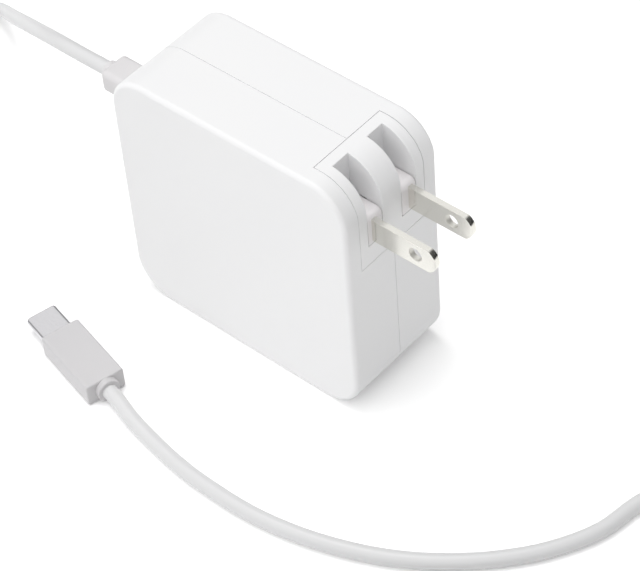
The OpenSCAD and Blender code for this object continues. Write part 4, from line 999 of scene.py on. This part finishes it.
def endRings(halfA, halfB, corner, start, end, rounding, steps, cornerSteps=8):
    # cross-sections of a bar along X with a round-edged far end: lists of (x, a, b)
    rings = [[(start, a, b) for a, b in roundedOutline(halfA, halfB, corner, cornerSteps)]]
    sign = 1 if end > start else -1
    for i in range(steps + 1):
        turn = math.radians(90 * i / steps)
        inset = rounding * (1 - math.cos(turn))
        x = end - sign * rounding * (1 - math.sin(turn))
        outline = roundedOutline(halfA - inset, halfB - inset, corner - inset, cornerSteps)
        rings.append([(x, a, b) for a, b in outline])
    return rings


def makeRelief():
    r = relief
    face, rear, level = -caseHalf + r["seat"], -caseHalf - r["length"], case["exitHeight"]
    radius = r["collar"] / 2
    pieces = []
    for name, rings in (
            ("cord_relief", endRings(r["wide"] / 2, r["high"] / 2, r["corner"], face, rear,
                                     r["end"], steps=6)),
            ("collar", endRings(radius, radius, radius - sliver, rear + r["collarSeat"],
                                rear - r["collarLength"], r["collarEdge"], 4, cornerSteps=12))):
        bm = bmesh.new()
        loft(bm, [[(x * mm, a * mm, (b + level) * mm) for x, a, b in ring] for ring in rings])
        pieces.append(meshPiece(name, bm))
    boot, neck = pieces
    combine(boot, neck, "UNION")
    smooth(boot, angle=30)
    dress(boot, "adapter", finish["reliefElastomer"], "relief_plastic", "strain_relief")


makeRelief()
print("relief made")


def plugPiece(name, rings, closed=True):
    bm = bmesh.new()
    loft(bm, rings, closed)
    piece = meshPiece(name, bm, plugTurn)
    smooth(piece, angle=30)
    return piece


def makePlugGrip():
    p = plug
    size = p["gripWidth"] / 2, p["gripHeight"] / 2, p["gripCorner"]
    half = p["gripLength"] / 2
    rear = endRings(*size, half, 0, p["gripEnd"], steps=4)
    front = endRings(*size, half, p["gripLength"], p["gripFront"], steps=5)
    piece = plugPiece("plug_grip", list(reversed(rear)) + front[1:])
    # its white satin is greyed by painted shade
    return dress(piece, "adapter", finish["gripSatinPaintedShade"], "grip_plastic", "usb_grip")


def makePlugCollar():
    p = plug
    radius = p["collarRadius"]
    rings = endRings(radius, radius, radius - sliver, p["collarSeat"], -p["collarLength"],
                     p["collarEdge"], 4, cornerSteps=12)
    piece = plugPiece("plug_collar", rings)
    # the same white satin, greyed by painted shade
    return dress(piece, "adapter", finish["gripSatinPaintedShade"], "grip_plastic", "usb_collar")


def makePlugShell():
    # a drawn tube with round sides, its mouth rolled in
    p = plug
    halfWide, halfHigh, wall = p["shellWidth"] / 2, p["shellHeight"] / 2, p["shellWall"]
    start, tip = p["gripLength"] - p["shellRoot"], p["gripLength"] + p["shellReach"]
    stations = [(start, wall), (start, 0)] + [(tip - back, inset) for back, inset in p["shellLip"]]
    stations += [(start + p["shellGap"], wall)]
    rings = [[(x, a, b) for a, b in roundedOutline(
        halfWide - inset, halfHigh - inset, halfHigh - inset - p["shellFlat"], 12)]
        for x, inset in stations]
    piece = plugPiece("plug_shell", rings, closed=False)
    return dress(piece, "adapter", finish["stampedSteel"], "steel", "usb_shell")


contacts = {
    "pitch": 0.5, "count": 12,  # mm, and fingers in a row
    "length": 5.2, "wide": 0.26, "thick": 0.12, "high": 0.39, "corner": 0.03,
    "middle": 26.4,  # along the plug
    "crown": 0.10, "crownAt": 1.6, "crownReach": 0.9,
    "stations": 14,  # steps along a finger
}


def makePlugContacts():
    # one sprung finger, crowned where it meets the socket's tongue, in two facing rows
    c = contacts
    rings = []
    for i in range(c["stations"] + 1):
        x = c["length"] * (i / c["stations"] - 0.5)
        away = min(abs(x - c["crownAt"]) / c["crownReach"], 1)
        sink = c["crown"] * (0.5 + 0.5 * math.cos(math.pi * away))
        rings.append([(x, a, b + c["high"] - sink) for a, b in
                      roundedOutline(c["wide"] / 2, c["thick"] / 2, c["corner"], 1)])
    bm = bmesh.new()
    loft(bm, rings)
    piece = meshPiece("plug_contacts", bm)
    piece.data.shade_smooth()
    piece.data.set_sharp_from_angle(angle=math.radians(32))
    evenCopies(piece, {
        "Copies": 2 * c["count"], "Group": c["count"],
        "Start": (c["middle"], -(c["count"] - 1) / 2 * c["pitch"], 0),
        "Step": (0, c["pitch"], 0), "First turn": 0.0, "Turn": 0.0, "Group turn": math.pi,
        "Finish": finish["goldPlate"]}, plugTurn)
    return dress(piece, "adapter", finish["goldPlate"], "gold_plating", "usb_contacts")


grip, collar = makePlugGrip(), makePlugCollar()
plugShell = makePlugShell()
plugContacts = makePlugContacts()

print("plug made")


choke = {
    "hole": 3.4, "radius": 6.6, "thick": 5,  # mm, the bare ring
    "wire": 0.8, "clear": 0.12, "bend": 0.8, "bendSteps": 4, "sides": 8,
    "turns": 8, "firstArc": 27, "arc": 126,  # degrees, and the second winding half a turn on
}


def makeChokeWindings():
    # one turn of wire round the ring's section, repeated along two arcs of the ring
    c = choke
    low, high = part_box("choke_core")
    centre = (Vector(low) + Vector(high)) / 2
    off, sides = c["clear"] + c["wire"] / 2, c["sides"]
    deep = c["radius"] - c["hole"] + 2 * off
    line = roundedOutline(c["thick"] / 2 + off, deep / 2, c["bend"], c["bendSteps"],
                          (0, -(c["radius"] + c["hole"]) / 2))
    bm = bmesh.new()
    rows = []
    for i, (x, z) in enumerate(line):
        ahead = Vector(line[(i + 1) % len(line)]) - Vector(line[i - 1])
        out = Vector((ahead.y, -ahead.x)).normalized()
        row = []
        for k in range(sides):
            turn = 2 * math.pi * k / sides
            lift, across = c["wire"] / 2 * math.cos(turn), c["wire"] / 2 * math.sin(turn)
            row.append(bm.verts.new((x + out.x * lift, across, z + out.y * lift)))
        rows.append(row)
    for near, far in zip(rows, rows[1:] + rows[:1]):
        for k in range(sides):
            j = (k + 1) % sides
            bm.faces.new((near[k], near[j], far[j], far[k]))
    piece = meshPiece("choke_wire", bm)
    piece.data.shade_smooth()
    step = c["arc"] / c["turns"]
    evenCopies(piece, {
        "Copies": 2 * c["turns"], "Group": c["turns"], "Start": (0, 0, 0), "Step": (0, 0, 0),
        "First turn": math.radians(c["firstArc"] + step / 2), "Turn": math.radians(step),
        "Group turn": math.pi, "Finish": finish["enamelledCopper"]},
        Matrix.Translation(centre) @ Matrix.Scale(mm, 4))
    dress(piece, "adapter", finish["enamelledCopper"], "copper_wire", "choke_windings")


makeChokeWindings()
print("windings made")


studio = {
    # the light on matt surfaces: its strength from above and in front, and where it is weaker,
    # each with a direction, the strength there and the cosines between which it fades
    "soft": {"strength": 1.30, "weaker": [
        {"towards": (1, 0, 0), "strength": 0.36, "fade": (0.1, 0.8)},  # at the blades' end
        {"towards": (-0.70, 0.71, 0), "strength": 0.32, "fade": (-0.2, 0.6)}]},  # behind the cord
    # the same light as polished surfaces see it
    "mirrored": {"strength": 1.0, "weaker": [
        {"towards": (-0.70, 0.71, 0), "strength": 0.45, "fade": (0.80, 0.95)},
        {"towards": (0.75, 0.50, 0.43), "strength": 0.08, "fade": (0.80, 0.90)},  # a dark gap
        {"towards": (0, 0, -1), "strength": 0.12, "fade": (-0.5, -0.05)},  # near the floor
        {"towards": (0, 0, 1), "strength": 0.6, "fade": (0.82, 0.96)}]},  # straight overhead
    "keyFrom": (-0.20, 0.06, 0.978), "keyDistance": 1.8, "keySize": 1.0,  # m
    "keyPower": 10.5,  # W
    "floorSize": 8,
    "floorColour": "#f6f6f6",
    "floorSeen": 0.34,  # how much paler the camera sees the paper, so that only real shadow shows
    "floorShine": 0.25,  # and polished surfaces
}


def unevenSky(tree, look):
    # white light from all round, weaker towards some places
    level = look["strength"]
    for place in look["weaker"]:
        facing = addNode(tree, "ShaderNodeVectorMath", {"operation": "DOT_PRODUCT"}, {
            0: addNode(tree, "ShaderNodeTexCoord").outputs["Generated"], 1: place["towards"]})
        share = addNode(tree, "ShaderNodeMapRange", {"interpolation_type": "SMOOTHSTEP"}, {
            "Value": facing.outputs["Value"], "From Min": place["fade"][0],
            "From Max": place["fade"][1], "To Min": 1.0,
            "To Max": place["strength"] / look["strength"]})
        level = addNode(tree, "ShaderNodeMath", {"operation": "MULTIPLY"}, {
            0: share.outputs[0], 1: level}).outputs[0]
    return addNode(tree, "ShaderNodeBackground", inputs={
        "Color": (1, 1, 1, 1), "Strength": level}).outputs[0]


def makeLight():
    world = bpy.data.worlds.new("studioWorld")
    world.use_nodes = True
    tree = world.node_tree
    tree.nodes.clear()
    rays = addNode(tree, "ShaderNodeLightPath")
    soft, mirrored = unevenSky(tree, studio["soft"]), unevenSky(tree, studio["mirrored"])
    white = addNode(tree, "ShaderNodeBackground", inputs={"Color": (1, 1, 1, 1), "Strength": 1.0})
    lit = addNode(tree, "ShaderNodeMixShader", inputs={
        0: rays.outputs["Is Glossy Ray"], 1: soft, 2: mirrored})
    mixed = addNode(tree, "ShaderNodeMixShader", inputs={
        0: rays.outputs["Is Camera Ray"], 1: lit.outputs[0], 2: white.outputs[0]})
    addNode(tree, "ShaderNodeOutputWorld", inputs={"Surface": mixed.outputs[0]})
    scene.world = world
    data = bpy.data.lights.new("keyLight", "AREA")
    data.shape = "DISK"
    data.size = studio["keySize"]
    data.energy = studio["keyPower"]
    key = bpy.data.objects.new("keyLight", data)
    scene.collection.objects.link(key)
    key.location = Vector(studio["keyFrom"]) * studio["keyDistance"]
    key.rotation_euler = (-key.location).to_track_quat("-Z", "Y").to_euler()


def makeFloor():
    half = studio["floorSize"] / 2
    corners = [(x * half, y * half, 0) for x, y in ((-1, -1), (1, -1), (1, 1), (-1, 1))]
    bm = bmesh.new()
    bm.faces.new([bm.verts.new(corner) for corner in corners])
    floor = meshPiece("studio_floor", bm)
    # matt white paper sweep: even, with no gloss of its own
    material, tree = newMaterial("paperSweep")
    rays = addNode(tree, "ShaderNodeLightPath")
    paper = addNode(tree, "ShaderNodeBsdfDiffuse", inputs={
        "Color": hexColour(studio["floorColour"])})
    paler = addNode(tree, "ShaderNodeMix", {"data_type": "RGBA"}, {
        0: rays.outputs["Is Camera Ray"], 6: (0, 0, 0, 1), 7: (studio["floorSeen"],) * 3 + (1,)})
    seen = addNode(tree, "ShaderNodeBsdfDiffuse", inputs={"Color": paler.outputs[2]})
    lift = addNode(tree, "ShaderNodeMath", {"operation": "MULTIPLY"}, {
        0: rays.outputs["Is Glossy Ray"], 1: studio["floorShine"]})
    glow = addNode(tree, "ShaderNodeEmission", inputs={
        "Color": (1, 1, 1, 1), "Strength": lift.outputs[0]})
    both = addNode(tree, "ShaderNodeAddShader", inputs={0: paper.outputs[0], 1: seen.outputs[0]})
    whole = addNode(tree, "ShaderNodeAddShader", inputs={0: both.outputs[0], 1: glow.outputs[0]})
    addNode(tree, "ShaderNodeOutputMaterial", inputs={"Surface": whole.outputs[0]})
    floor.data.materials.append(material)


makeLight()
makeFloor()
scene.view_settings.view_transform = "Standard"
print("studio lit")
